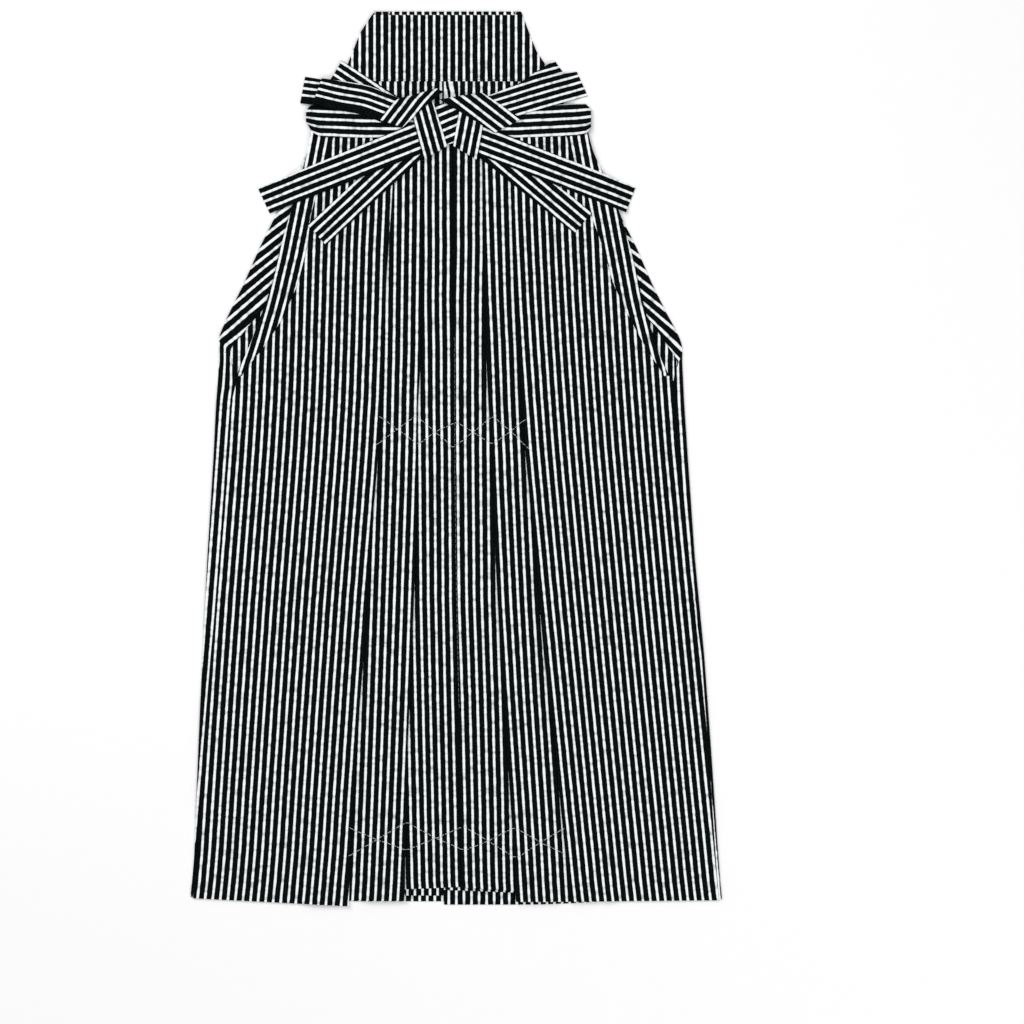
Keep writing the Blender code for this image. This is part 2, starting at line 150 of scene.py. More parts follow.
# Where the turning opens wide, its white stripes lean: height of each at the outline and at the side pleat.
FLAP_COLUMNS = ("count", "left_outline", "left_pleat", "right_outline", "right_pleat")
FLAP_ROWS = (
    (-1, 641.0, 668.0, 637.0, 684.0),
    (0, 653.0, 687.0, 651.6, 697.0),
    (1, 665.7, 706.4, 666.4, 709.9),
    (2, 680.1, 733.2, 689.6, 724.6),
    (3, 700.1, 751.2, 714.9, 740.0),
    (4, 722.5, 766.4, 737.7, 756.0),
    (5, 746.5, 781.6, 759.7, 772.0),
    (6, 765.7, 796.4, 778.5, 787.2),
    (7, 785.3, 812.0, 798.1, 802.4),
    (8, 806.1, 828.4, 817.0, 819.0),
    (9, 827.3, 843.2, 836.0, 837.0),
    (20, 1060.0, 1070.0, 1040.0, 1044.0),
)
# The line where the wrap's upright stripes bend into the leaning ones: its outer end, and its fall for each
# mm inwards.
CORNER = {"left": (-285.4, 679.6, 1.05), "right": (271.9, 665.3, 2.6)}
BLEND_AT_FOLD = 12.0
HALVINGS = 24
# The back's rows: runs of heights as first, end and step, and the last few under the board.
BACK_LEVEL_RUNS = (
    (FIRST_ROW, 626.0, ROW_STEP),
    (630.0, 692.0, 2.0),
    (692.0, 715.0, 4.0),
    (720.0, 960.0, ROW_STEP),
)
BACK_LAST_LEVELS = (963.0, 968.0, 973.0, 979.0, 984.0, 989.4)
# The back's columns: steps beside the middle seam, how many even ones follow, the last ones' distances from
# the outer fold, and their places across the turning.
BESIDE_SEAM = (0.0, 1.7, 3.7, 5.7, 8.0, 10.7, 13.5, 16.0, 17.7)
EVEN_COLUMNS = 26
BEFORE_FOLD = (10.0, 6.0, 3.0)
ON_TURNING = (0.1, 0.22, 0.36, 0.5, 0.66, 0.82, 1.0)
# The fold beside the middle seam, just under the board: place from the next white stripe, and its stripe
# count.
SEAM_FOLD_COLUMNS = ("x", "count")
SEAM_FOLD_ROWS = ((-17.7, -2.05), (-16.0, -1.82), (-14.0, -1.19), (-7.0, -0.81), (-1.6, -0.18), (0.0, 0.0))
SEAM_FOLD_FROM = 952.0
SEAM_FOLD_SLANT = 0.21
SEAM_FOLD_RISE = 0.6
SEAM_FOLD_WIDTH = 3.5
SEAM_FOLD_OFF = 10.0
SEAM_FOLD_SLANTS_FROM = -1.0
INNER_LEG_WHITE = {"left": -31.1, "right": 39.8}
INNER_LEG_SHAPE = (40, 9)

FRONT_COLUMNS = ("up", "pleat_1", "pleat_2", "middle", "pleat_3", "pleat_4")
FRONT_ROWS = (
    (0, -128.4, -61.2, 6.6, 72.0, 137.4),
    (60, -127.0, -60.8, 6.1, 69.8, 131.5),
    (180, -120.4, -58.4, 3.2, 61.6, 119.4),
    (300, -110.6, -52.9, 0.7, 53.4, 105.5),
    (420, -103.6, -48.4, -1.7, 47.2, 95.2),
    (540, -93.3, -46.9, -2.9, 43.3, 83.5),
    (600, -89.8, -45.7, -3.0, 39.0, 79.1),
    (633, -88.5, -43.5, -3.0, 37.4, 77.6),
    (675, -87.0, -41.3, -3.0, 35.8, 75.8),
    (705, -86.0, -41.2, -3.0, 35.2, 74.3),
    (745, -84.0, -41.1, -3.0, 34.4, 72.3),
    (790, -80.8, -40.5, -3.0, 33.5, 70.1),
    (830, -78.0, -39.9, -3.0, 32.6, 68.1),
    (870, -75.7, -39.6, -3.0, 31.7, 66.4),
    (905, -73.8, -39.6, -3.0, 30.9, 65.1),
    (950, -72.2, -39.6, -3.0, 30.1, 63.8),
)
SEAM_GAP = 0.5
LEFT_HEMS = ((9.6, 0.0), (7.0, 7.0), (20.4, 23.4))
RIGHT_HEMS = ((7.2, 5.5), (5.5, 5.5), (18.4, 23.0))
# The white stripe nearest to the fold on each of the front's six strips, from left to right.
STRIPE_COLUMNS = ("up", "left_0", "left_1", "left_2", "right_2", "right_1", "right_0")
STRIPE_ROWS = (
    (0, -138.0, -69.8, 1.4, 13.2, 79.2, 143.4),
    (67, -132.3, -66.7, 0.0, 11.6, 75.5, 136.8),
    (127, -128.5, -64.3, -1.3, 10.6, 71.8, 130.6),
    (247, -120.5, -59.8, -4.0, 7.7, 63.6, 118.5),
    (367, -112.1, -55.7, -6.5, 3.7, 56.5, 106.5),
    (487, -102.5, -51.6, -7.4, 2.6, 50.9, 95.1),
    (547, -98.0, -49.8, -7.9, 2.1, 48.5, 89.6),
    (607, -94.4, -48.7, -8.6, 1.8, 45.8, 85.1),
    (667, -92.2, -47.2, -8.8, 1.8, 43.7, 81.0),
    (727, -90.5, -46.5, -9.7, 1.9, 40.9, 77.3),
    (787, -88.9, -45.7, -9.1, 3.0, 39.1, 74.4),
    (823, -87.1, -45.2, -9.4, 2.9, 38.0, 72.8),
    (930, -83.0, -44.3, -9.6, 3.2, 35.5, 69.5),
)
STRIP_PITCH = dict(zip(STRIPE_COLUMNS[1:], (9.06, 9.05, 8.9, 9.08, 9.0, 9.01)))
# Places of a front section's points: across the first strip, on a later strip's low part, on the raised part
# beside each fold, and on the last strip under the lap.
FIRST_STRIP_POINTS = 18
LOW_POINTS = (0.3, 0.7)
RAISED_POINTS = (0.25, 0.5, 0.75)
UNDER_LAP_POINTS = (0.06, 0.2, 0.35, 0.5, 0.65, 0.8, 0.9, 1.0)
# How far under a fold's edge the next strip starts.
UNDER_EDGE = 0.5

LEAF_COLUMNS = ("up", "left_outer", "left_inner", "right_inner", "right_outer")
LEAF_ROWS = (
    (636, -262.4, -258.1, 249.9, 254.8),
    (655, -254.2, -243.5, 237.5, 245.3),
    (675, -245.6, -227.0, 224.9, 239.2),
    (705, -234.1, -208.0, 208.5, 228.5),
    (745, -219.8, -190.1, 189.2, 218.5),
    (790, -209.3, -178.7, 176.4, 207.8),
    (830, -198.1, -173.9, 161.7, 196.2),
    (870, -186.8, -163.4, 146.8, 179.7),
    (905, -177.0, -151.9, 137.4, 163.5),
    (930, -172.5, -145.0, 131.0, 157.0),
)
LEAF_PAST_EDGE = 1.0
LEAF_SHAPE = (74, 11)
LEAF_ROUNDING = 0.12
# Reach, up and down, over which a side pleat's stripe shows how far it leans.
LEAN_REACH = 10.0
LEAF_STRIPE_COLUMNS = ("up", "left", "right")
LEAF_STRIPE_ROWS = (
    (636, -250.8, 233.0),
    (671, -239.0, 224.3),
    (726, -223.1, 211.0),
    (784, -209.5, 200.3),
    (840, -198.3, 189.9),
    (930, -181.0, 173.5),
)
SIDE_SEAM_TOP = 634.0

BOARD_LOW = 990.0
BOARD_CROWN = 0.8
BOARD_WHITE = -8.3
BOARD_PITCH = 8.93
BOARD_SHAPE = (23, 81)
# How wide and how deep the board's rounded rim is, inside the crown.
BOARD_CROWN_WIDTH = 14.0
BOARD_RIM_WIDTH = 2.5
BOARD_RIM_DEPTH = 0.9
BOARD_RIM_OUT = 0.5
# The cover's back layer is turned over the top edge: its stripes show there half a pitch away.
BOARD_TURN_UP = 1068.8
BOARD_TURN_X = (-80.0, 71.0)
BOARD_TOP_ROWS = (BOARD_TURN_UP + 0.3, 1070.9, LENGTH)
BOARD_COLUMNS = ("up", "left", "right")
BOARD_ROWS = (
    (990.0, -139.2, 114.0),
    (1010.4, -129.5, 106.3),
    (1024.8, -123.6, 96.4),
    (1048.8, -114.0, 86.8),
    (1068.0, -101.2, 79.6),
    (1072.8, -97.2, 78.0),
)

# The band's edges and the height of its lowest white stripe.
BAND_COLUMNS = ("x", "lower", "upper", "white")
BAND_ROWS = (
    (-180, 941, 954, 926.5),
    (-177, 936, 958, 926.3),
    (-173, 929, 961, 926.0),
    (-163, 923, 961, 925.5),
    (-150, 922, 960, 925.0),
    (-107, 922, 959, 923.2),
    (0, 922, 959, 923.2),
    (73, 922, 960, 922.9),
    (145, 924, 962, 926.6),
    (156, 926, 962, 927.5),
    (162, 935, 956, 928.0),
)
BAND_PITCH = 9.2
# Where the band's lower edge rises at its ends, the lowest stripes bend up with it, by a share of that rise.
BAND_CURVED_FROM = 924.0
BAND_CURVED_TO = 930.0
BAND_CURVE = 0.6
BAND_STEP = 4.0
BAND_COUNT = 15
BAND_ROUNDING = 0.14

# Tie stretches, lowest first: name, cross lines as the (x, up) of their two ends, how far the first white
# stripe lies from the line's first end at the stretch's start and at its end, and the pitch. Before that
# white the map stays in a black stripe; where that white lies nearly a pitch or more in, that black band
# along the near edge is painted shade, the shadow between the stretch and the piece beside it.
TIES = (
    ("loop_under_left", (((-187, 963), (-181, 995)), ((-146, 958), (-143, 989))), 10.2, 10.4, 8.2),
    ("back_tie_left", (((-152, 989), (-137, 1014)), ((-86, 947), (-71, 972))), 1.8, 0.4, 8.5),
    ("back_tie_right", (((89, 962), (74, 986)), ((130, 998), (118, 1015))), 8.7, -14.6, 8.5),
    (
        "loop_left",
        (
            ((-172, 962), (-161, 993)),
            ((-145, 955), (-133, 989)),
            ((-115, 950), (-104, 984)),
            ((-84, 938), (-65, 968)),
        ),
        11.4,
        11.9,
        8.1,
    ),
    (
        "loop_right",
        (((62, 944), (36, 971)), ((112, 959), (89, 992)), ((158, 972), (145, 1001))),
        1.5,
        1.9,
        8.15,
    ),
    ("knot_middle", (((-24, 910), (-31.5, 961)), ((12, 919), (12, 966))), -3.3, 2.8, 9.5),
    ("tail_short_left", (((-31, 906), (-60, 924)), ((-156, 793), (-178, 817))), 6.3, 3.0, 8.9),
    ("tail_short_right", (((19, 905), (47, 922)), ((142, 807), (163, 832))), 7.7, 3.0, 8.95),
    ("tail_long_left", (((-30, 907), (-38.5, 944)), ((-223.5, 831), (-237.5, 861))), 6.9, 6.6, 9.05),
    ("tail_long_right", (((17, 905), (23.5, 940)), ((204, 832), (215.5, 863))), 4.0, 5.8, 9.0),
    ("wrap_left", (((-54, 953), (-29, 970)), ((-38.5, 895.5), (-10.5, 911.5))), 2.4, 2.7, 8.9),
    ("wrap_right", (((6, 967), (35, 952)), ((-3, 911.5), (26, 894.5))), 2.4, 0.9, 9.15),
    ("cross_right", (((-20, 967.5), (31, 976)), ((46, 927), (78.5, 944))), 9.2, 2.4, 8.5),
    (
        "cross_left",
        (((-64, 933.5), (-92, 943)), ((-38, 958), (-71, 968)), ((-15, 977), (-23, 981))),
        -1.2,
        8.4,
        8.2,
    ),
)

# How far, in pitches, the map swings about the middle of the black stripe before a tie's first white. Where
# that black widens along a tie's near edge it is painted shade.
SHADED_EDGE_SWING = 0.3
TIE_COUNT = 17
TIE_EASINGS = 6
TIE_ROUNDING = 0.16
# A strip laid on others: how far round it looks for what is under it, how steeply it falls, and how often
# its heights are spread and eased.
DRAPE_REACH = 4
DRAPE_STEEPEST = 0.42
DRAPE_SPREADS = 2
DRAPE_EASINGS = 3
# A laid strip's edges and ends, as shares of its full thickness.
STRIP_EDGE = 0.12
STRIP_END = 0.45

# Basting: each thread zigzags across the pleats, as (x, up) of its corners.
BASTING = (
    (
        (-90.0, 586.1), (-70.3, 572.4), (-45.6, 553.9), (-25.3, 568.8), (0.4, 580.6),
        (20.6, 568.8), (44.4, 553.9), (65.6, 569.5), (81.2, 582.4),
    ),
    (
        (-94.2, 553.9), (-70.3, 572.4), (-47.4, 588.8), (-25.3, 568.8), (-3.2, 550.2),
        (20.6, 568.8), (44.4, 588.0), (65.6, 569.5), (85.8, 550.2),
    ),
    (
        (-125.5, 92.9), (-94.9, 80.0), (-59.5, 67.2), (-24.2, 81.6), (9.6, 96.0),
        (38.4, 78.5), (72.2, 57.6), (101.2, 76.8), (128.4, 92.9),
    ),
    (
        (-127.2, 60.7), (-94.9, 80.0), (-59.5, 100.9), (-24.2, 81.6), (9.6, 67.2),
        (38.4, 78.5), (70.7, 94.6), (101.2, 76.8), (128.4, 64.0),
    ),
)

# The seam under the waist board's lower edge, sewn in near-black thread that also paints the board's shadow
# along that edge: painted shade.
BOARD_SEAM_AND_SHADE = ((-134.0, 991.6), (109.0, 991.6))
# Tacks, each a few short rows of stitches: its two ends.
TACKS = (
    ((-264.6, 634.0), (-258.8, 636.6)),
    ((252.6, 632.4), (258.4, 630.4)),
    ((-276.2, 664.6), (-271.0, 667.4)),
)
TACK_ROWS = 3
TACK_STEP = 0.5
# A grey thread just inside the middle fold's edge, a painted highlight for the light caught along that edge:
# where it runs, the step between its points, and how far in from the fold.
FOLD_LINE_FROM = 240.0
FOLD_LINE_TO = 700.0
FOLD_LINE_STEP = 20.0
FOLD_LINE_IN = 1.5
# How each thread lies: its middle above the cloth as a share of its radius, how far it strays in mm, and how
# far a stitch turns out of line in radians.
BASTING_LIE = {"above": 0.8, "stray": 0.7, "turn": 0.1}
SEAM_LIE = {"above": 0.6, "stray": 0.1, "turn": 0.05}
FOLD_LIE = {"above": 0.2, "stray": 0.5, "turn": 0.05}
THREAD_STEP = 2.0
THREAD_EASINGS = 3
THREAD_REACH = 1
BASTING_SEED = 11
SEAM_SEED = 23
# A stitch: its steps and sides, and how deep its ends and how high its middle go, in thread radii.
STITCH_STEPS = 6
THREAD_SIDES = 6
STITCH_DIP = -1.6
STITCH_CROWN = 3.0

# Soft ridges and troughs of the laid cloth: x, up, half width, half length, lean from upright, height.
CREASE_COLUMNS = ("x", "up", "wide", "long", "lean", "rise")
CREASES = (
    (-236, 520, 26, 120, 0.05, 1.1),
    (-182, 330, 20, 150, 0.06, 0.9),
    (-214, 170, 30, 110, 0.04, 1.3),
    (-150, 610, 18, 140, 0.03, 0.8),
    (-134, 740, 22, 90, -0.10, 1.0),
    (-160, 60, 24, 70, 0.02, 0.8),
    (-66, 300, 10, 170, 0.03, 0.5),
    (-22, 210, 12, 150, 0.01, 0.5),
    (-20, 690, 10, 120, 0.00, 0.4),
    (30, 150, 12, 120, -0.04, 0.5),
    (62, 420, 9, 140, -0.05, 0.5),
    (128, 700, 20, 110, 0.08, 0.9),
    (150, 480, 22, 130, -0.06, 1.0),
    (206, 560, 24, 110, -0.05, 1.1),
    (190, 250, 26, 150, -0.07, 1.2),
    (246, 120, 28, 100, -0.05, 1.3),
    (118, 110, 16, 90, -0.04, 0.6),
)

# Weave: how sharp a stripe's edge is, what keeps each stripe's noise its own, sizes of the slow noises, and
# how fast a fleck fades from its row.
STRIPE_EDGE = 28.0
STRIPE_APART = 7.3
WAVER_SCALE = 0.45
MOTTLE_SCALE = 3.2
FLECK_FADE = 1.5
FLECK_COLOUR = (0.06, 0.095, 0.095, 1.0)
BLUE_BLACK = (0.008, 0.014, 0.016, 1.0)
THIN_WHITE = (0.45, 0.52, 0.56, 1.0)
# Grey painted into the gaps between the white yarns: painted shade in the weave's hollows.
SHADE_BETWEEN_YARNS = (0.12, 0.13, 0.14, 1.0)
# Cloth: where blue black starts in the mottle and how fast it grows, the same for a white stripe that thins
# at its slubs, how the painted shade in the gaps between yarns shows, and its roughness, shine and relief.
MOTTLE_FROM = 0.52
MOTTLE_GAIN = 1.6
THIN_FROM = 0.5
THIN_GAIN = 2.6
GAP_FADE = 2.0
GAP_SHARE = 0.75
ROUGH_BETWEEN = 0.06
ROUGH_ON_YARN = -0.12
CLOTH_SHINE = 0.012
SHEEN_ROUGHNESS = 0.4
CLOTH_RELIEF = 0.1 * MM
# Thread: its roughness, shine and sheen, and its twist's size, bend, painted highlight and shade, and relief.
THREAD_ROUGHNESS = 0.7
THREAD_SHINE = 0.25
THREAD_SHEEN = 0.1
TWIST_SCALE = 900.0
TWIST_BEND = 0.4
TWIST_HIGHLIGHT = 1.15
TWIST_SHADE = 0.7
TWIST_BUMP = 0.4
TWIST_RELIEF = 0.05 * MM

# Stage, in metres: the camera is over the photograph's middle, and each light has its place and its size.
CAMERA_PLACE = (67.2 * MM, -63.6 * MM)
LIGHTS_AIM = (0.1, -0.1, 0.0)
KEY_LIGHT = ((-1.5, 1.6, 2.7), 2.4)
FILL_LIGHT = ((1.9, -1.6, 2.8), 2.6)
FLOOR_REACH = 4.0
FLOOR_ROUGHNESS = 0.8
FLOOR_SHINE = 0.2
GRAIN_SCALE = 60.0
GRAIN_SHADE = 0.985
SENSOR_WIDTH = 36.0


class HAKAMA_PG_cloth(bpy.types.PropertyGroup):
    """Sizes and finish of the striped cloth."""

    tie_thickness: bpy.props.FloatProperty(
        name="Tie thickness", description="Thickness of a folded tie", default=1.6 * MM, unit="LENGTH"
    )
    band_thickness: bpy.props.FloatProperty(
        name="Band thickness",
        description="Thickness of the folded front band",
        default=2.0 * MM,
        unit="LENGTH",
    )
    board_thickness: bpy.props.FloatProperty(
        name="Board thickness",
        description="Thickness of the waist board",
        default=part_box("waist_board")[1].z,
        unit="LENGTH",
    )
    white_share: bpy.props.FloatProperty(
        name="White share", description="Share of a pitch that is white", default=0.305, subtype="FACTOR"
    )
    rib_size: bpy.props.FloatProperty(
        name="Rib size",
        description="Distance between two ribs of the weave",
        default=0.46 * MM,
        unit="LENGTH",
    )
    warp_size: bpy.props.FloatProperty(
        name="Warp size", description="Distance between two warp yarns", default=0.24 * MM, unit="LENGTH"
    )
    black: bpy.props.FloatVectorProperty(
        name="Black",
        description="Dark stripe",
        default=(0.0010, 0.0014, 0.0016, 1.0),
        size=4,
        subtype="COLOR",
    )
    white: bpy.props.FloatVectorProperty(
        name="White", description="Light stripe", default=(0.95, 0.97, 0.98, 1.0), size=4, subtype="COLOR"
    )
    roughness: bpy.props.FloatProperty(
        name="Roughness", description="Roughness of the yarn", default=0.62, subtype="FACTOR"
    )
    sheen: bpy.props.FloatProperty(
        name="Sheen", description="Soft shine at grazing angles", default=0.006, subtype="FACTOR"
    )


class HAKAMA_PG_sewing(bpy.types.PropertyGroup):
    """Sizes and colours of the threads."""

    basting_stitch: bpy.props.FloatProperty(
        name="Basting stitch", description="Length of a basting stitch", default=4.6 * MM, unit="LENGTH"
    )
    basting_gap: bpy.props.FloatProperty(
        name="Basting gap",
        description="Gap between two basting stitches",
        default=1.6 * MM,
        unit="LENGTH",
    )
    basting_radius: bpy.props.FloatProperty(
        name="Basting radius",
        description="Radius of the basting thread",
        default=0.28 * MM,
        unit="LENGTH",
    )
    basting_colour: bpy.props.FloatVectorProperty(
        name="Basting colour",
        description="Pale thread",
        default=(0.62, 0.64, 0.65, 1.0),
        size=4,
        subtype="COLOR",
    )
    seam_stitch: bpy.props.FloatProperty(
        name="Seam stitch", description="Length of a seam stitch", default=2.4 * MM, unit="LENGTH"
    )
    seam_gap: bpy.props.FloatProperty(
        name="Seam gap", description="Gap between two seam stitches", default=1.2 * MM, unit="LENGTH"
    )
    seam_radius: bpy.props.FloatProperty(
        name="Seam radius", description="Radius of the sewing thread", default=0.14 * MM, unit="LENGTH"
    )
    # Near-black thread of the tacks and of the board's seam, which there also paints the board's shadow.
    seam_and_shade_colour: bpy.props.FloatVectorProperty(
        name="Seam colour",
        description="Dark thread",
        default=(0.008, 0.009, 0.010, 1.0),
        size=4,
        subtype="COLOR",
    )
    fold_stitch: bpy.props.FloatProperty(
        name="Fold stitch",
        description="Length of a stitch beside the middle fold",
        default=5.2 * MM,
        unit="LENGTH",
    )
    fold_gap: bpy.props.FloatProperty(
        name="Fold gap",
        description="Gap between two stitches beside the fold",
        default=1.1 * MM,
        unit="LENGTH",
    )
    fold_radius: bpy.props.FloatProperty(
        name="Fold radius",
        description="Radius of the thread beside the fold",
        default=0.3 * MM,
        unit="LENGTH",
    )
    # Grey of the line inside the middle fold's edge: a painted highlight.
    fold_highlight_colour: bpy.props.FloatVectorProperty(
        name="Fold colour",
        description="Grey thread",
        default=(0.15, 0.155, 0.16, 1.0),
        size=4,
        subtype="COLOR",
    )


class HAKAMA_PG_stage(bpy.types.PropertyGroup):
    """Floor, lights and camera."""

    floor_colour: bpy.props.FloatVectorProperty(
        name="Floor colour",
        description="Pale floor",
        default=(0.93, 0.93, 0.93, 1.0),
        size=4,
        subtype="COLOR",
    )
    key_power: bpy.props.FloatProperty(
        name="Key power", description="Power of the large light", default=70.0, unit="POWER"
    )
    fill_power: bpy.props.FloatProperty(
        name="Fill power", description="Power of the fill light", default=56.0, unit="POWER"
    )
    ambient: bpy.props.FloatProperty(name="Ambient", description="Light from all round", default=0.45)
    camera_height: bpy.props.FloatProperty(
        name="Camera height", description="Camera above the floor", default=6.8267, unit="LENGTH"
    )
    lens: bpy.props.FloatProperty(name="Lens", description="Focal length", default=200.0, unit="CAMERA")


def columns_of(names, rows):
    """Each column of a table by name, as an array."""
    return {name: np.array([row[i] for row in rows], float) for i, name in enumerate(names)}


BACK = columns_of(BACK_COLUMNS, BACK_ROWS)
BACK_STRIPES = columns_of(BACK_STRIPE_COLUMNS, BACK_STRIPE_ROWS)
FLAP = columns_of(FLAP_COLUMNS, FLAP_ROWS)
SEAM_FOLD = columns_of(SEAM_FOLD_COLUMNS, SEAM_FOLD_ROWS)
FRONT = columns_of(FRONT_COLUMNS, FRONT_ROWS)
STRIPES = columns_of(STRIPE_COLUMNS, STRIPE_ROWS)
LEAF = columns_of(LEAF_COLUMNS, LEAF_ROWS)
LEAF_STRIPES = columns_of(LEAF_STRIPE_COLUMNS, LEAF_STRIPE_ROWS)
BOARD = columns_of(BOARD_COLUMNS, BOARD_ROWS)
BAND = columns_of(BAND_COLUMNS, BAND_ROWS)


def between(table, key, name, value):
    """A column's value where the key column has the given value, straight between the rows."""
    return float(np.interp(value, table[key], table[name]))


def at(table, name, up):
    """A column's value, with its corners eased over a few millimetres."""
    around = up + EASE * np.array((-1.0, -0.5, 0.0, 0.5, 1.0))
    return float(np.interp(around, table["up"], table[name]).mean())


def smooth(t):
    t = np.clip(t, 0.0, 1.0)
    return t * t * (3.0 - 2.0 * t)


def lift(x, up):
    """How far the laid cloth's soft ridges stand off what is below."""
    total = np.zeros(np.broadcast(x, up).shape)
    for crease in CREASES:
        c = dict(zip(CREASE_COLUMNS, crease))
        along = np.asarray(up) - c["up"]
        across = np.asarray(x) - c["x"] - along * c["lean"]
        total = total + c["rise"] * np.exp(-((across / c["wide"]) ** 2) - (along / c["long"]) ** 2)
    return total


class LaidMap:
    """The top of everything laid down so far, in square cells of one millimetre."""

    left = -350
    low = -50
    wide = 700
    tall = 1150

    def __init__(self):
        self.tops = np.zeros((self.wide, self.tall))

    def cells(self, x, up):
        i = np.clip(np.round(np.asarray(x) - self.left), 0, self.wide - 1).astype(int)
        j = np.clip(np.round(np.asarray(up) - self.low), 0, self.tall - 1).astype(int)
        return i, j

    def lay(self, grid):
        """Records a grid of top points, with the surface between them."""
        a, b, c, d = grid[:-1, :-1], grid[1:, :-1], grid[:-1, 1:], grid[1:, 1:]
        rows = int(np.abs(b - a)[..., :2].max()) + 2
        cols = int(np.abs(c - a)[..., :2].max()) + 2
        for s in np.linspace(0.0, 1.0, rows):
            for t in np.linspace(0.0, 1.0, cols):
                point = (a * (1 - s) + b * s) * (1 - t) + (c * (1 - s) + d * s) * t
                i, j = self.cells(point[..., 0], point[..., 1])
                np.maximum.at(self.tops, (i, j), point[..., 2])

    def around(self, reach):
        """The map with each cell raised to the highest one within reach."""
        spread = self.tops.copy()
        for axis in (0, 1):
            base = spread.copy()
            for step in range(-reach, reach + 1):
                spread = np.maximum(spread, np.roll(base, step, axis))
        return spread

    def over(self, x, up, reach):
        i, j = self.cells(x, up)
        return self.around(reach)[i, j]


LAID = LaidMap()


def draped(plan):
    """Heights at which a grid of (x, up) points lies on the map, with no slope too steep for the cloth."""
    heights = LAID.over(plan[..., 0], plan[..., 1], DRAPE_REACH)
    heights = np.where(heights > 0.0, heights + GAP, 0.0)
    along, across = (np.linalg.norm(np.diff(plan, axis=axis), axis=2) * DRAPE_STEEPEST for axis in (0, 1))
    for _ in range(DRAPE_SPREADS):
        for grid, steps in ((heights, along), (heights.T, across.T)):
            for rows, falls in ((grid, steps), (grid[::-1], steps[::-1])):
                for i in range(1, len(rows)):
                    rows[i] = np.maximum(rows[i], rows[i - 1] - falls[i - 1])
    for _ in range(DRAPE_EASINGS):
        eased = heights.copy()
        eased[1:-1] = (heights[:-2] + 2 * heights[1:-1] + heights[2:]) / 4
        heights = np.maximum(heights, eased)
    return heights


def placed(grid):
    """Millimetre points, x, up and height, as the model's metres."""
    flat = grid.reshape(-1, 3) * MM
    flat[:, 1] -= LENGTH / 2 * MM
    return flat


def into_scene(name, data):
    made = bpy.data.objects.new(name, data)
    bpy.context.scene.collection.objects.link(made)
    return made


def shell(name, lower, upper, stripe_map, material, rim=0.0):
    """A closed cloth wall between two grids of points, with rounded rims and a stripe map."""
    rows, cols = upper.shape[:2]
    count = rows * cols
    index = np.arange(count).reshape(rows, cols)
    loop = np.concatenate([index[0, :-1], index[:-1, -1], index[-1, :0:-1], index[:0:-1, 0]])
    inner = np.concatenate([index[1, :-1], index[:-1, -2], index[-2, :0:-1], index[:0:-1, 1]])
    top, bottom = placed(upper), placed(lower)
    middle = (top + bottom) / 2
    outward = middle[loop] - middle[inner]
    outward /= np.maximum(np.linalg.norm(outward, axis=1), 1e-9)[:, None]
    edge = middle[loop] + outward * rim * MM
    points = np.concatenate([top, bottom, edge])
    a, b = index[:-1, :-1].ravel(), index[:-1, 1:].ravel()
    c, d = index[1:, 1:].ravel(), index[1:, :-1].ravel()
    ring = np.arange(len(loop)) + 2 * count
    after, ring_after = np.roll(loop, -1), np.roll(ring, -1)
    faces = np.concatenate(
        [
            np.stack([a, b, c, d], axis=1),
            np.stack([d, c, b, a], axis=1) + count,
            np.stack([loop, ring, ring_after, after], axis=1),
            np.stack([ring, loop + count, after + count, ring_after], axis=1),
        ]
    )
    mesh = bpy.data.meshes.new(name)
    mesh.from_pydata(points.tolist(), [], faces.tolist())
    places = stripe_map.reshape(-1, 2)
    places = np.concatenate([places, places, places[loop]])
    corners = np.zeros(len(mesh.loops), int)
    mesh.loops.foreach_get("vertex_index", corners)
    mesh.uv_layers.new(name="stripes").data.foreach_set("uv", places[corners].astype(np.float32).ravel())
    work = bmesh.new()
    work.from_mesh(mesh)
    bmesh.ops.recalc_face_normals(work, faces=work.faces)
    work.to_mesh(mesh)
    work.free()
    mesh.shade_smooth()
    mesh.set_sharp_from_angle(angle=SHARP_FROM)
    mesh.materials.append(material)
    return into_scene(name, mesh)


def declare_cloth(piece, node):
    """Hangs a piece under the root body, and hides the model's part that it replaces."""
    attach(piece, "root")
    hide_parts(node)


def thicken(grid, thick):
    """Lower and upper grids of a middle surface whose rows bend only in x and height."""
    along = np.gradient(grid[:, :, (0, 2)], axis=1)
    along /= np.linalg.norm(along, axis=2)[:, :, None]
    side = np.stack([-along[..., 1], np.zeros(grid.shape[:2]), along[..., 0]], axis=2) * thick / 2
    return grid - side, grid + side


def lay_panel(name, grid, places, held, rests_on):
    """Makes a body panel round its middle grid, hangs it under the root body in place of its part, and lays
    it on the map.
    """
    lower, upper = thicken(grid, CLOTH)
    piece = shell(name + "_cloth", lower, upper, places, panel_cloth(), rim=PANEL_RIM)
    declare_cloth(piece, name)
    LAID.lay(grid + np.array((0.0, 0.0, CLOTH / 2)))


def turn(x, height, outward):
    """Points of a fold's half circle about (x, height), from its upper to its lower side."""
    angles = [math.pi / 2 - math.pi * k / FOLD_STEPS for k in range(FOLD_STEPS + 1)]
    return [(x + outward * FOLD_RADIUS * math.cos(a), height + FOLD_RADIUS * math.sin(a)) for a in angles]


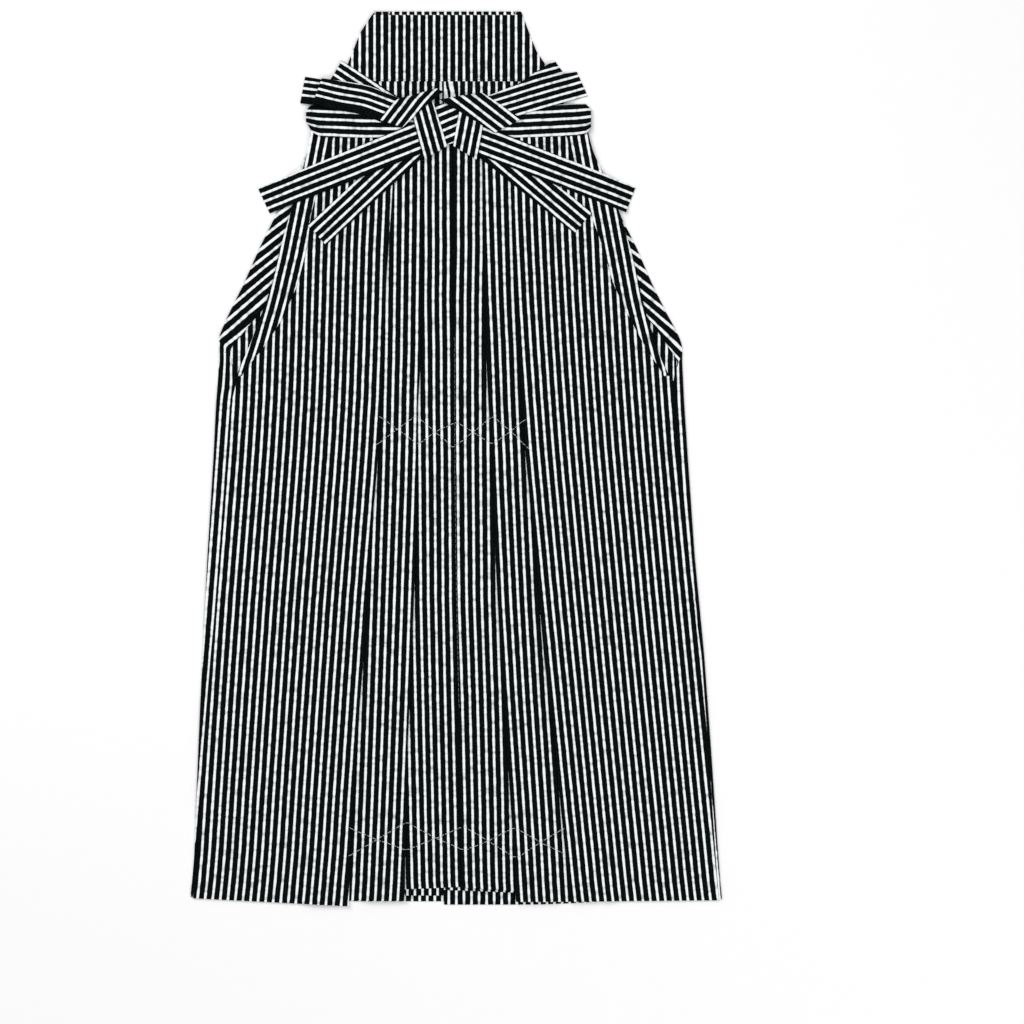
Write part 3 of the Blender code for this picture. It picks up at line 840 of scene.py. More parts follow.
class Graph:
    """Short calls for making and joining the nodes of a tree."""

    def __init__(self, tree):
        self.tree = tree

    def put(self, socket, value):
        if isinstance(value, bpy.types.NodeSocket):
            self.tree.links.new(value, socket)
        elif value is not None:
            socket.default_value = value

    def node(self, kind, inputs=None, **settings):
        made = self.tree.nodes.new(kind)
        for name, value in settings.items():
            setattr(made, name, value)
        for name, value in (inputs or {}).items():
            self.put(made.inputs[name], value)
        return made

    def math(self, operation, a, b=None, c=None, clamp=False):
        made = self.node("ShaderNodeMath", operation=operation, use_clamp=clamp)
        for socket, value in zip(made.inputs, (a, b, c)):
            self.put(socket, value)
        return made.outputs[0]

    def mix(self, share, a, b, blend="MIX"):
        made = self.node("ShaderNodeMix", data_type="RGBA", blend_type=blend)
        self.put(made.inputs[0], share)
        self.put(made.inputs[6], a)
        self.put(made.inputs[7], b)
        return made.outputs[2]


def group_with(name, kind, inputs, outputs):
    """A node group with named inputs and outputs."""
    tree = bpy.data.node_groups.new(name, kind)
    for socket_name, socket_type, default in inputs:
        socket = tree.interface.new_socket(socket_name, in_out="INPUT", socket_type=socket_type)
        if default is not None:
            socket.default_value = default
    for socket_name, socket_type in outputs:
        tree.interface.new_socket(socket_name, in_out="OUTPUT", socket_type=socket_type)
    return tree


def striped_weave():
    """Shader group: white stripes with scalloped edges, the ribbed weave's height, and its light flecks."""
    number = "NodeSocketFloat"
    tree = group_with(
        "striped_weave",
        "ShaderNodeTree",
        (
            ("Across", number, 0.0),
            ("Along", number, 0.0),
            ("White share", number, 0.41),
            ("Rib size", number, 0.064),
            ("Warp size", number, 0.033),
            ("Scallop", number, 0.012),
            ("Waver", number, 0.07),
            ("Slub size", number, 0.72),
            ("Slub", number, 0.09),
        ),
        (("White", number), ("Weave", number), ("Fleck", number), ("Mottle", number), ("Slub", number)),
    )
    g = Graph(tree)
    source = g.node("NodeGroupInput").outputs
    place = g.node("ShaderNodeCombineXYZ", {"X": source["Across"], "Y": source["Along"]}).outputs[0]
    slow = g.node("ShaderNodeTexNoise", {"Vector": place, "Scale": WAVER_SCALE, "Detail": 2.0}).outputs["Fac"]
    waver = g.math("MULTIPLY", g.math("SUBTRACT", slow, 0.5), source["Waver"])
    across = g.math("ADD", source["Across"], waver)
    ribs = g.math("DIVIDE", source["Along"], source["Rib size"])
    scallop = g.math("MULTIPLY", g.math("SINE", g.math("MULTIPLY", ribs, math.pi)), source["Scallop"])
    stripe = g.math("MULTIPLY", g.math("FLOOR", g.math("ADD", across, 0.5)), STRIPE_APART)
    run = g.math("DIVIDE", source["Along"], source["Slub size"])
    own = g.node("ShaderNodeCombineXYZ", {"X": stripe, "Y": run}).outputs[0]
    slub = g.node(
        "ShaderNodeTexNoise", {"Vector": own, "Scale": 1.0, "Detail": 1.0}, noise_dimensions="2D"
    ).outputs["Fac"]
    swell = g.math("MULTIPLY", g.math("SUBTRACT", slub, 0.5), source["Slub"])
    half = g.math("ADD", g.math("MULTIPLY", source["White share"], 0.5), g.math("ADD", scallop, swell))
    off = g.math("PINGPONG", across, 0.5)
    white = g.math("MULTIPLY_ADD", g.math("SUBTRACT", half, off), STRIPE_EDGE, 0.5, clamp=True)
    row = g.math("FLOOR", ribs)
    parity = g.math("MODULO", row, 2.0)
    warps = g.math("MULTIPLY_ADD", parity, 0.5, g.math("DIVIDE", across, source["Warp size"]))
    rib = g.math("ABSOLUTE", g.math("SINE", g.math("MULTIPLY", ribs, math.pi)))
    yarn = g.math("ABSOLUTE", g.math("SINE", g.math("MULTIPLY", warps, math.pi)))
    slit = g.math("MULTIPLY", g.math("SUBTRACT", 1.0, yarn), rib)
    weave = g.math("SUBTRACT", 1.0, slit)
    cell = g.node("ShaderNodeCombineXYZ", {"X": g.math("FLOOR", warps), "Y": row}).outputs[0]
    chance = g.node("ShaderNodeTexWhiteNoise", {"Vector": cell}, noise_dimensions="2D").outputs["Value"]
    bright = g.math("MULTIPLY", g.math("SUBTRACT", chance, 0.5, clamp=True), yarn)
    fleck = g.math("MULTIPLY", bright, g.math("POWER", g.math("SUBTRACT", 1.0, rib), FLECK_FADE))
    noise = g.node("ShaderNodeTexNoise", {"Vector": place, "Scale": MOTTLE_SCALE, "Detail": 2.0})
    mottle = noise.outputs["Fac"]
    g.node(
        "NodeGroupOutput", {"White": white, "Weave": weave, "Fleck": fleck, "Mottle": mottle, "Slub": slub}
    )
    return tree


def laid_tint():
    """Shader group: slow change of tone over the laid cloth, from its place on the garment."""
    tree = group_with(
        "laid_tint",
        "ShaderNodeTree",
        (("Size", "NodeSocketFloat", 9.0), ("Depth", "NodeSocketFloat", 0.06)),
        (("Tone", "NodeSocketFloat"),),
    )
    g = Graph(tree)
    source = g.node("NodeGroupInput").outputs
    place = g.node("ShaderNodeTexCoord").outputs["Object"]
    slow = g.node("ShaderNodeTexNoise", {"Vector": place, "Scale": source["Size"], "Detail": 3.0})
    tone = g.math("SUBTRACT", 1.0, g.math("MULTIPLY", slow.outputs["Fac"], source["Depth"]))
    g.node("NodeGroupOutput", {"Tone": tone})
    return tree


def shared_group(name, make):
    return bpy.data.node_groups.get(name) or make()


def new_material(name, colour, roughness):
    """A material with a Principled shader whose constants are on its own sockets."""
    material = bpy.data.materials.new(name)
    material.use_nodes = True
    shader = material.node_tree.nodes["Principled BSDF"]
    shader.inputs["Base Color"].default_value = colour
    shader.inputs["Roughness"].default_value = roughness
    return material, shader, Graph(material.node_tree)


def striped_cloth(name, share_change=0.0, sheen_change=0.0, bump=0.3):
    """The woven stripe cloth. Its stripes follow the piece's own stripe map."""
    made = bpy.data.materials.get(name)
    if made:
        return made
    cloth = bpy.context.scene.hakama_cloth
    material, shader, g = new_material(name, cloth.black, cloth.roughness)
    stripes = g.node("ShaderNodeUVMap", uv_map="stripes").outputs[0]
    place = g.node("ShaderNodeSeparateXYZ", {"Vector": stripes})
    weave = g.node("ShaderNodeGroup", node_tree=shared_group("striped_weave", striped_weave))
    g.put(weave.inputs["Across"], place.outputs["X"])
    g.put(weave.inputs["Along"], place.outputs["Y"])
    weave.inputs["White share"].default_value = cloth.white_share + share_change
    weave.inputs["Rib size"].default_value = cloth.rib_size / (PITCH * MM)
    weave.inputs["Warp size"].default_value = cloth.warp_size / (PITCH * MM)
    tint = g.node("ShaderNodeGroup", node_tree=shared_group("laid_tint", laid_tint))
    out = weave.outputs
    dark = g.mix(out["Fleck"], tuple(cloth.black), FLECK_COLOUR)
    mottled = g.math("MULTIPLY", g.math("SUBTRACT", out["Mottle"], MOTTLE_FROM, clamp=True), MOTTLE_GAIN)
    dark = g.mix(mottled, dark, BLUE_BLACK)
    thinned = g.math("SUBTRACT", THIN_FROM, out["Slub"], clamp=True)
    thin = g.math("MULTIPLY", thinned, THIN_GAIN, clamp=True)
    pale = g.mix(thin, tuple(cloth.white), THIN_WHITE)
    # Grey where the weave's relief is low, between the yarns: painted shade.
    gap = g.math("POWER", g.math("SUBTRACT", 1.0, out["Weave"]), GAP_FADE)
    pale = g.mix(g.math("MULTIPLY", gap, GAP_SHARE), pale, SHADE_BETWEEN_YARNS)
    colour = g.mix(out["White"], dark, pale)
    tone = g.node("ShaderNodeCombineColor", {name: tint.outputs["Tone"] for name in ("Red", "Green", "Blue")})
    colour = g.mix(1.0, colour, tone.outputs[0], "MULTIPLY")
    g.put(shader.inputs["Base Color"], colour)
    rough = g.math("MULTIPLY_ADD", out["Weave"], ROUGH_ON_YARN, cloth.roughness + ROUGH_BETWEEN)
    g.put(shader.inputs["Roughness"], rough)
    relief = g.node("ShaderNodeBump", {"Height": out["Weave"], "Strength": bump, "Distance": CLOTH_RELIEF})
    g.put(shader.inputs["Normal"], relief.outputs[0])
    shader.inputs["Specular IOR Level"].default_value = CLOTH_SHINE
    shader.inputs["Sheen Weight"].default_value = cloth.sheen + sheen_change
    shader.inputs["Sheen Roughness"].default_value = SHEEN_ROUGHNESS
    return material


def panel_cloth():
    return striped_cloth("striped_panel")


def tie_cloth():
    return striped_cloth("striped_tie", share_change=0.01, sheen_change=0.01, bump=0.35)


def board_cloth():
    return striped_cloth("striped_board", share_change=-0.01, bump=0.25)


def thread_material(name, colour):
    """A twisted thread: fine bands across it in relief, with painted highlight on their ridges and painted
    shade in their grooves.
    """
    material, shader, g = new_material(name, colour, THREAD_ROUGHNESS)
    place = g.node("ShaderNodeTexCoord").outputs["Object"]
    twist = {"Vector": place, "Scale": TWIST_SCALE, "Distortion": TWIST_BEND}
    bands = g.node("ShaderNodeTexWave", twist, bands_direction="DIAGONAL").outputs["Fac"]
    # The bands' colour follows their relief, lighter on the ridges and darker in the grooves: painted
    # highlight and painted shade.
    pale = tuple(min(1.0, c * TWIST_HIGHLIGHT) for c in colour[:3]) + (1.0,)
    deep = tuple(c * TWIST_SHADE for c in colour[:3]) + (1.0,)
    g.put(shader.inputs["Base Color"], g.mix(bands, deep, pale))
    relief = {"Height": bands, "Strength": TWIST_BUMP, "Distance": TWIST_RELIEF}
    g.put(shader.inputs["Normal"], g.node("ShaderNodeBump", relief).outputs[0])
    shader.inputs["Specular IOR Level"].default_value = THREAD_SHINE
    shader.inputs["Sheen Weight"].default_value = THREAD_SHEEN
    return material


def flap_count(side, x, up):
    """Stripe count at a point of the opened turning, whose stripes run from its outline to the side pleat."""
    low, high = float(FLAP["count"][0]), float(FLAP["count"][-1])
    for _ in range(HALVINGS):
        count = (low + high) / 2
        outer_up = between(FLAP, "count", side + "_outline", count)
        inner_up = between(FLAP, "count", side + "_pleat", count)
        outer, inner = at(BACK, side, outer_up), at(LEAF, side + "_outer", inner_up)
        above = (inner - outer) * (up - outer_up) - (inner_up - outer_up) * (x - outer)
        if above * -OUTWARD[side] > 0.0:
            low = count
        else:
            high = count
    return (low + high) / 2


def turned_place(side, x, up, outward):
    """Place on the stripes of a point turned round to the front, with a count of its own."""
    corner_x, corner_up, fall = CORNER[side]
    if up <= corner_up - fall * max(0.0, -outward * (x - corner_x)):
        off = x - at(BACK_STRIPES, side + "_wrap", up)
        return outward * off / at(BACK_STRIPES, side + "_pitch", up), up / PITCH
    return flap_count(side, x, up), (up - outward * x) / PITCH / math.sqrt(2.0)


def flat_place(side, x, up, outward):
    """Place on the stripes of a point of the flat part, with the little fold at the middle seam's top."""
    off = x - at(BACK_STRIPES, side + "_flat", up)
    count = off / PITCH
    if side == "right" and up > SEAM_FOLD_FROM:
        near = off - SEAM_FOLD_SLANT * (BOARD_LOW - up) * float(off < SEAM_FOLD_SLANTS_FROM)
        if near < 0.0:
            count = between(SEAM_FOLD, "x", "count", near)
    return -outward * count, up / PITCH


def back_levels():
    """Heights of the back's rows, closer together round the corner where the turning opens."""
    return np.concatenate([[0.0]] + [np.arange(*run) for run in BACK_LEVEL_RUNS] + [BACK_LAST_LEVELS])


def back_grid(side):
    """The middle of a back panel, from the middle seam to its outer fold and round to its turning's edge."""
    outward = OUTWARD[side]
    seam = SEAM_X + outward * GAP / 2
    edge = at(BACK, side, CROTCH)
    on_flat, on_turned = (place(side, edge, CROTCH, outward)[0] for place in (flat_place, turned_place))
    count = round(on_flat - on_turned)
    middle = BACK_HEM_UP[side + "_middle"]
    rows = []
    places = []
    for level in back_levels():
        edge = at(BACK, side, level)
        turning = at(BACK, side + "_turning", level)
        fold = edge - outward * (FOLD_RADIUS + CLOTH / 2)
        xs = [seam + outward * s for s in BESIDE_SEAM]
        first, *later = (fold - outward * s for s in BEFORE_FOLD)
        xs += [xs[-1] + (first - xs[-1]) * k / EVEN_COLUMNS for k in range(1, EVEN_COLUMNS + 1)]
        section = [(x, CLOTH / 2, False) for x in xs + later]
        bend = turn(fold, CLOTH / 2 + FOLD_RADIUS, outward)[::-1]
        section += [(x, height, k > FOLD_STEPS / 2) for k, (x, height) in enumerate(bend)]
        section += [(fold + (turning - fold) * s, CLOTH / 2 + LAYER, True) for s in ON_TURNING]
        apart = turned_place(side, edge, level, outward)[0] + count
        apart -= flat_place(side, edge, level, outward)[0]
        row = []
        place = []
        for x, height, turned in section:
            share = (x - seam) / (edge - seam)
            gone = float(smooth(share * HEM_GAIN - HEM_DELAY))
            up = level if level > 0.0 else middle + (BACK_HEM_UP[side + "_edge"] - middle) * gone
            if side == "right" and level > SEAM_FOLD_FROM:
                fold_at = at(BACK_STRIPES, "right_flat", up) - SEAM_FOLD_OFF
                fold_at += SEAM_FOLD_SLANT * (BOARD_LOW - up)
                height += SEAM_FOLD_RISE * math.exp(-(((x - fold_at) / SEAM_FOLD_WIDTH) ** 2))
            row.append((x, up, height))
            if turned:
                across, along = turned_place(side, x, up, outward)
                place.append((across + count, along))
            else:
                across, along = flat_place(side, x, up, outward)
                near = float(smooth(1.0 - abs(edge - x) / BLEND_AT_FOLD))
                place.append((across + apart * near, along))
        rows.append(row)
        places.append(place)
    return np.array(rows, float), np.array(places, float)


def inner_leg_grid(side):
    """The middle of an inner leg panel between back and front, and its stripe map."""
    outward = OUTWARD[side]
    pleat = "pleat_2" if side == "left" else "pleat_3"
    hem, outer_hem = INNER_LEG_HEMS[side]
    levels, columns = INNER_LEG_SHAPE
    shares = np.linspace(0.0, 1.0, columns)
    start = SEAM_X + outward * GAP / 2
    rows = []
    places = []
    for level in np.linspace(min(hem, outer_hem), CROTCH, levels):
        edge = at(FRONT, pleat, level) + outward * INNER_LEG_PAST_PLEAT
        narrowed = edge + (SEAM_X - edge) * INNER_LEG_NARROWING * level / CROTCH
        xs = start + (narrowed - start) * shares
        ups = np.maximum(level, hem + (outer_hem - hem) * shares) if not rows else np.full(columns, level)
        rows.append(np.stack([xs, ups, np.full(columns, LAYER + CLOTH / 2)], axis=1))
        places.append(np.stack([(xs - INNER_LEG_WHITE[side]) / PITCH, ups / PITCH], axis=1))
    return np.array(rows), np.array(places)


def pleat_depths(up):
    """How far each pleat's hidden fold reaches back from its edge."""
    pleat = {name: at(FRONT, name, up) for name in FRONT_COLUMNS[1:]}
    left = (pleat["pleat_2"] - pleat["pleat_1"]) * PLEAT_SHARE
    right = (pleat["pleat_4"] - pleat["pleat_3"]) * PLEAT_SHARE
    middle = (pleat["pleat_3"] - pleat["middle"]) * CENTRE_SHARE
    return {"pleat_1": left, "pleat_2": left, "middle": middle, "pleat_3": right, "pleat_4": right}


def ground_under_front(x, up):
    """Height of what the front lies on: the back, the inner legs and the turnings of the back."""
    depth = pleat_depths(up)
    low = at(FRONT, "pleat_2", up) - depth["pleat_2"] - RISE_CLEAR
    high = at(FRONT, "pleat_3", up) + depth["pleat_3"] + RISE_CLEAR
    outside = np.maximum(np.maximum(low - x, x - high), 0.0)
    legs = smooth((CROTCH + CROTCH_FADE - up) / CROTCH_FADE) * (1 - smooth(outside / SLOPE_WIDTH))
    turned = smooth((up - TURNING_FROM) / (TURNING_FULL - TURNING_FROM))
    past_left = x - at(BACK, "left_turning", up) - SIDE_LIFT
    past_right = at(BACK, "right_turning", up) - x - SIDE_LIFT
    sides = turned * np.maximum(1 - smooth(past_left / SLOPE_WIDTH), 1 - smooth(past_right / SLOPE_WIDTH))
    return LAYER * (1.0 + np.maximum(legs, sides))


def rising(start, end, strip):
    """A strip's points from the lowest layer up to the top one."""
    length = min(RISE_LENGTH, end - start)
    low = CLOTH / 2
    shares = np.linspace(0.0, 1.0, RISE_STEPS + 1)
    return [(end - length + length * s, low + 2 * LAYER * float(smooth(s)), strip, True) for s in shares]


def pleated_section(edge, folds, depths, last, open_end):
    """The middle line of one side's front, from its outer edge to the middle, with its outside at -x.

    Each point is its x, height, strip, and whether it shows. open_end says that the last strip runs on to
    last.
    """
    low = CLOTH / 2
    first_rise = folds[0] - depths[0] - RISE_CLEAR - RISE_LENGTH
    shares = np.linspace(0.0, 1.0, FIRST_STRIP_POINTS)[:-1]
    section = [(edge + (first_rise - edge) * s, low, 0, True) for s in shares]
    start = edge
    stops = list(zip(folds, depths)) if open_end else list(zip(folds + [last[0]], depths + [last[1]]))
    for strip, (fold, depth) in enumerate(stops):
        end = fold - depth - RISE_CLEAR
        if strip > 0:
            first = end - min(RISE_LENGTH, end - start - RISE_START)
            section += [(start + (first - start) * s, low, strip, True) for s in LOW_POINTS]
        section += rising(start + RISE_START, end, strip)
        outer = fold - FOLD_RADIUS - CLOTH / 2
        section += [(end + (outer - end) * s, low + 2 * LAYER, strip, True) for s in RAISED_POINTS]
        bend = turn(outer, low + 1.5 * LAYER, 1.0)
        section += [(x, h, strip, k <= FOLD_STEPS / 2) for k, (x, h) in enumerate(bend)]
        hidden = fold - depth
        if strip == len(stops) - 1 and not open_end:
            section += [(hidden, low + LAYER, strip, False)]
        else:
            section += [(outer + (hidden - outer) * 0.5, low + LAYER, strip, False)]
            section += [(x, h, strip, False) for x, h in turn(hidden, low + 0.5 * LAYER, -1.0)]
            section += [(hidden + (fold - hidden) * 0.5, low, strip, False)]
            section += [(fold - UNDER_EDGE, low, strip + 1, True)]
            start = fold
    if open_end:
        section += [(start + (last[0] - start) * s, low, len(stops), True) for s in UNDER_LAP_POINTS]
    return section


def front_edge(side, up):
    """The front's side edge: along the back's turning below the side opening, under the side pleat above."""
    if up >= SIDE_SEAM_TOP:
        return at(LEAF, side + "_outer", up)
    return at(BACK, side + "_turning", up) - OUTWARD[side] * SEAM_GAP


def hem_height(hems, strip, x, strip_edges):
    outer, inner = hems[strip]
    low, high = strip_edges[strip]
    return outer + (inner - outer) * min(max((x - low) / (high - low), 0.0), 1.0)


def strip_offsets(side):
    """Whole pitches between the stripe counts of one strip and the next, hidden in the fold between them."""
    depth = pleat_depths(CROTCH)["pleat_2" if side == "left" else "pleat_3"]
    hidden = round(2 * depth / PITCH)
    return (0, hidden, 2 * hidden)


def stripe_places(side, level, section, mirror):
    """Place across the stripes of each point of a section. Between the strips it runs on through the fold."""
    offsets = strip_offsets(side)
    points = np.array([(x, h) for x, h, _, _ in section])
    far = np.concatenate([[0.0], np.cumsum(np.linalg.norm(np.diff(points, axis=0), axis=1))])
    known = []
    for (x, _, strip, shown), s in zip(section, far):
        if shown:
            name = side + "_" + str(strip)
            white = at(STRIPES, name, level) * mirror
            known.append((s, offsets[strip] + (x - white) / STRIP_PITCH[name]))
    known = np.array(known)
    places = np.interp(far, known[:, 0], known[:, 1])
    tail = far > known[-1, 0]
    places[tail] = known[-1, 1] - (far[tail] - known[-1, 0]) / PITCH
    return places


def front_grid(side):
    """The middle of one side of the pleated front, and its stripe map."""
    mirror = -OUTWARD[side]
    pleats = ("pleat_1", "pleat_2") if side == "left" else ("pleat_4", "pleat_3")
    hems = LEFT_HEMS if side == "left" else RIGHT_HEMS
    rows = []
    maps = []
    for level in [0.0] + list(np.arange(FIRST_ROW, FRONT_TOP + 1.0, ROW_STEP)):
        value = {n: at(FRONT, n, level) for n in FRONT_COLUMNS[1:]}
        depth = pleat_depths(level)
        edge = front_edge(side, level) * mirror
        folds = [value[name] * mirror for name in pleats]
        depths = [depth[name] for name in pleats]
        middle = value["middle"] * mirror
        last = (middle + depth["middle"], 0.0) if side == "left" else (middle, depth["middle"])
        section = pleated_section(edge, folds, depths, last, side == "left")
        strip_edges = list(zip([edge] + folds, folds + [middle]))
        ups = [hem_height(hems, s, x, strip_edges) if level == 0.0 else level for x, _, s, _ in section]
        xs = np.array([p[0] for p in section]) * mirror
        ups = np.array(ups)
        heights = np.array([p[1] for p in section]) + ground_under_front(xs, level) + lift(xs, ups)
        rows.append(np.stack([xs, ups, heights], axis=1))
        maps.append(np.stack([stripe_places(side, level, section, mirror), ups / PITCH], axis=1))
    return np.array(rows), np.array(maps)


def pillow(rows, cols, rounding):
    """Share of the full thickness at each point of a laid strip: round along its long edges and its ends."""
    across = np.abs(across_places(cols) * 2 - 1)
    side = np.sqrt(1 - np.clip((across - 1 + rounding) / rounding, 0, 1) ** 2)
    side = STRIP_EDGE + (1 - STRIP_EDGE) * side
    end = np.ones(rows)
    end[0] = end[-1] = STRIP_END
    return np.outer(end, side)


def across_places(cols):
    """Places across a strip, closer together towards its edges."""
    even = np.linspace(-1.0, 1.0, cols)
    return (np.sin(even * math.pi / 2) * 0.5 + even * 0.5 + 1) / 2


def laid_strip(name, plan, thick, stripe_map, material, rounding):
    """A folded strip of cloth over a grid of (x, up) points, lying on whatever is there already."""
    base = draped(plan)
    rows, cols = plan.shape[:2]
    half = thick / 2 * pillow(rows, cols, rounding)
    middle = base + thick / 2
    grid = np.concatenate([plan, middle[..., None]], axis=2)
    lower, upper = grid.copy(), grid.copy()
    lower[..., 2] -= half
    upper[..., 2] += half
    piece = shell(name, lower, upper, stripe_map, material)
    LAID.lay(upper)
    return piece, grid


def leaf_plan(side):
    """Plan and stripe map of a side pleat, whose stripes lean with its outer fold."""
    outward = OUTWARD[side] * LEAF_PAST_EDGE
    levels, columns = LEAF_SHAPE
    plan = []
    places = []
    for up in np.linspace(LEAF["up"][0], LEAF["up"][-1], levels):
        outer = at(LEAF, side + "_outer", up)
        inner = at(LEAF, side + "_inner", up)
        white = at(LEAF_STRIPES, side, up)
        rise = at(LEAF_STRIPES, side, up + LEAN_REACH) - at(LEAF_STRIPES, side, up - LEAN_REACH)
        lean = rise / (2 * LEAN_REACH)
        square = 1.0 / math.hypot(1.0, lean)
        xs = outer + outward + (inner - outer - outward) * across_places(columns)
        plan.append([(x, up) for x in xs])
        places.append([((x - white) * square / PITCH, up / square / PITCH) for x in xs])
    return np.array(plan), np.array(places)


def board_grids():
    """Lower and upper grids of the waist board, flat below and crowned above, and its stripe map."""
    thick = bpy.context.scene.hakama_cloth.board_thickness / MM
    levels, columns = BOARD_SHAPE
    even = np.linspace(BOARD_LOW, BOARD_TURN_UP, levels)
    ups = np.concatenate([even, BOARD_TOP_ROWS])
    shares = across_places(columns)
    lower = np.zeros((len(ups), len(shares), 3))
    for i, up in enumerate(ups):
        left, right = (between(BOARD, "up", side, up) for side in SIDES)
        lower[i, :, 0] = left + (right - left) * shares
        lower[i, :, 1] = up
    rim = np.minimum(lower[..., 0] - lower[:, :1, 0], lower[:, -1:, 0] - lower[..., 0])
    rim = np.minimum(rim, np.minimum(lower[..., 1] - BOARD_LOW, LENGTH - lower[..., 1]))
    upper = lower.copy()
    upper[..., 2] = thick - BOARD_CROWN * (1 - smooth(rim / BOARD_CROWN_WIDTH))
    upper[..., 2] -= BOARD_RIM_DEPTH * (1 - smooth(rim / BOARD_RIM_WIDTH))
    count = (lower[..., 0] - BOARD_WHITE) / BOARD_PITCH
    turned = lower[..., 1] > BOARD_TURN_UP
    ends = (lower[..., 0] < BOARD_TURN_X[0]) | (lower[..., 0] > BOARD_TURN_X[1])
    count = np.where(turned, np.where(ends, np.floor(count) + 0.5, count + 0.5), count)
    return lower, upper, np.stack([count, lower[..., 1] / PITCH], axis=2)


def band_plan():
    """Plan and stripe map of the front band."""
    xs = np.unique(np.concatenate([np.arange(BAND["x"][0], BAND["x"][-1], BAND_STEP), BAND["x"]]))
    shares = across_places(BAND_COUNT)
    plan = []
    places = []
    for x in xs:
        low, high, white = (between(BAND, "x", name, x) for name in BAND_COLUMNS[1:])
        bend = (min(max(low, BAND_CURVED_FROM), BAND_CURVED_TO) - BAND_CURVED_FROM) * BAND_CURVE
        ups = low + (high - low) * shares
        whites = white + bend * (1 - shares) ** 2
        plan.append([(x, up) for up in ups])
        places.append([((up - own) / BAND_PITCH, x / PITCH) for up, own in zip(ups, whites)])
    return np.array(plan), np.array(places)


def eased_line(points, passes):
    """A line of points with its corners rounded, its two ends kept."""
    for _ in range(passes):
        inner = (points[:-2] + 2 * points[1:-1] + points[2:]) / 4
        points = np.concatenate([points[:1], inner, points[-1:]])
    return points


def tie_plan(lines, first, last, pitch):
    """Plan of a tie stretch, and its stripe map across its true width."""
    near = []
    far = []
    for (a0, a1), (b0, b1) in zip(lines[:-1], lines[1:]):
        steps = max(2, int(round(max(math.dist(a0, b0), math.dist(a1, b1)) / TIE_STEP)))
        for t in np.arange(steps) / steps:
            near.append(np.array(a0) * (1 - t) + np.array(b0) * t)
            far.append(np.array(a1) * (1 - t) + np.array(b1) * t)
    near = eased_line(np.array(near + [lines[-1][0]], float), TIE_EASINGS)
    far = eased_line(np.array(far + [lines[-1][1]], float), TIE_EASINGS)
    shares = across_places(TIE_COUNT)
    plan = near[:, None] + (far - near)[:, None] * shares[None, :, None]
    along = np.gradient(near, axis=0)
    along /= np.linalg.norm(along, axis=1)[:, None]
    line = far - near
    width = np.abs(line[:, 0] * along[:, 1] - line[:, 1] * along[:, 0])
    lean = (line * along).sum(axis=1)
    gone = np.concatenate([[0.0], np.cumsum(np.linalg.norm(np.diff(near, axis=0), axis=1))])
    start = first + (last - first) * gone / gone[-1]
    across = (width[:, None] * shares[None] - start[:, None]) / pitch
    # Before the first white the map is held in a black stripe: where that white lies far in, this is painted
    # shade along the stretch's near edge.
    across = np.where(across < -0.5, -0.5 + SHADED_EDGE_SWING * np.sin((across + 0.5) * math.pi), across)
    length = (gone[:, None] + lean[:, None] * shares[None]) / PITCH
    return plan, np.stack([across, length], axis=2)


class HAKAMA_OT_back(bpy.types.Operator):
    """Lay down the two back panels, with their outer edges turned round to the front"""

    bl_idname = "hakama.back"
    bl_label = "Back panels"

    def execute(self, context):
        for side in SIDES:
            lay_panel("back_" + side, *back_grid(side), "laid", ["floor"])
        return {"FINISHED"}


class HAKAMA_OT_inner_legs(bpy.types.Operator):
    """Lay the inner leg panels on the back"""

    bl_idname = "hakama.inner_legs"
    bl_label = "Inner legs"

    def execute(self, context):
        for side in SIDES:
            lay_panel("inner_leg_" + side, *inner_leg_grid(side), "laid", ["back_" + side])
        return {"FINISHED"}


class HAKAMA_OT_waist_board(bpy.types.Operator):
    """Put the waist board at the top of the back"""

    bl_idname = "hakama.waist_board"
    bl_label = "Waist board"

    def execute(self, context):
        lower, upper, places = board_grids()
        piece = shell("waist_board_cover", lower, upper, places, board_cloth(), rim=BOARD_RIM_OUT)
        declare_cloth(piece, "waist_board")
        LAID.lay(upper)
        return {"FINISHED"}


class HAKAMA_OT_front(bpy.types.Operator):
    """Lay the pleated front over the back, the right side over the left at the middle"""

    bl_idname = "hakama.front"
    bl_label = "Pleated front"

    def execute(self, context):
        for side in SIDES:
            below = ["back_" + side, "inner_leg_" + side]
            lay_panel("front_" + side, *front_grid(side), "folded", below)
        return {"FINISHED"}


class HAKAMA_OT_side_pleats(bpy.types.Operator):
    """Lay the long narrow folds beside the side openings"""

    bl_idname = "hakama.side_pleats"
    bl_label = "Side pleats"

    def execute(self, context):
        for side in SIDES:
            plan, places = leaf_plan(side)
            name = "sasahida_" + side
            piece, grid = laid_strip(name + "_cloth", plan, CLOTH, places, panel_cloth(), LEAF_ROUNDING)
            declare_cloth(piece, name)
        return {"FINISHED"}


class HAKAMA_OT_front_band(bpy.types.Operator):
    """Lay the band over the pleats' top edge"""

    bl_idname = "hakama.front_band"
    bl_label = "Front band"

    def execute(self, context):
        plan, places = band_plan()
        thick = context.scene.hakama_cloth.band_thickness / MM
        piece, grid = laid_strip("front_band_cloth", plan, thick, places, tie_cloth(), BAND_ROUNDING)
        declare_cloth(piece, "front_band")
        return {"FINISHED"}


class HAKAMA_OT_ties(bpy.types.Operator):
    """Lay the ties, one stretch on another, into the crossed bow"""

    bl_idname = "hakama.ties"
    bl_label = "Ties"

    def execute(self, context):
        thick = context.scene.hakama_cloth.tie_thickness / MM
        for name, lines, first, last, pitch in TIES:
            plan, places = tie_plan(lines, first, last, pitch)
            piece, grid = laid_strip(name + "_cloth", plan, thick, places, tie_cloth(), TIE_ROUNDING)
            declare_cloth(piece, name)
        return {"FINISHED"}


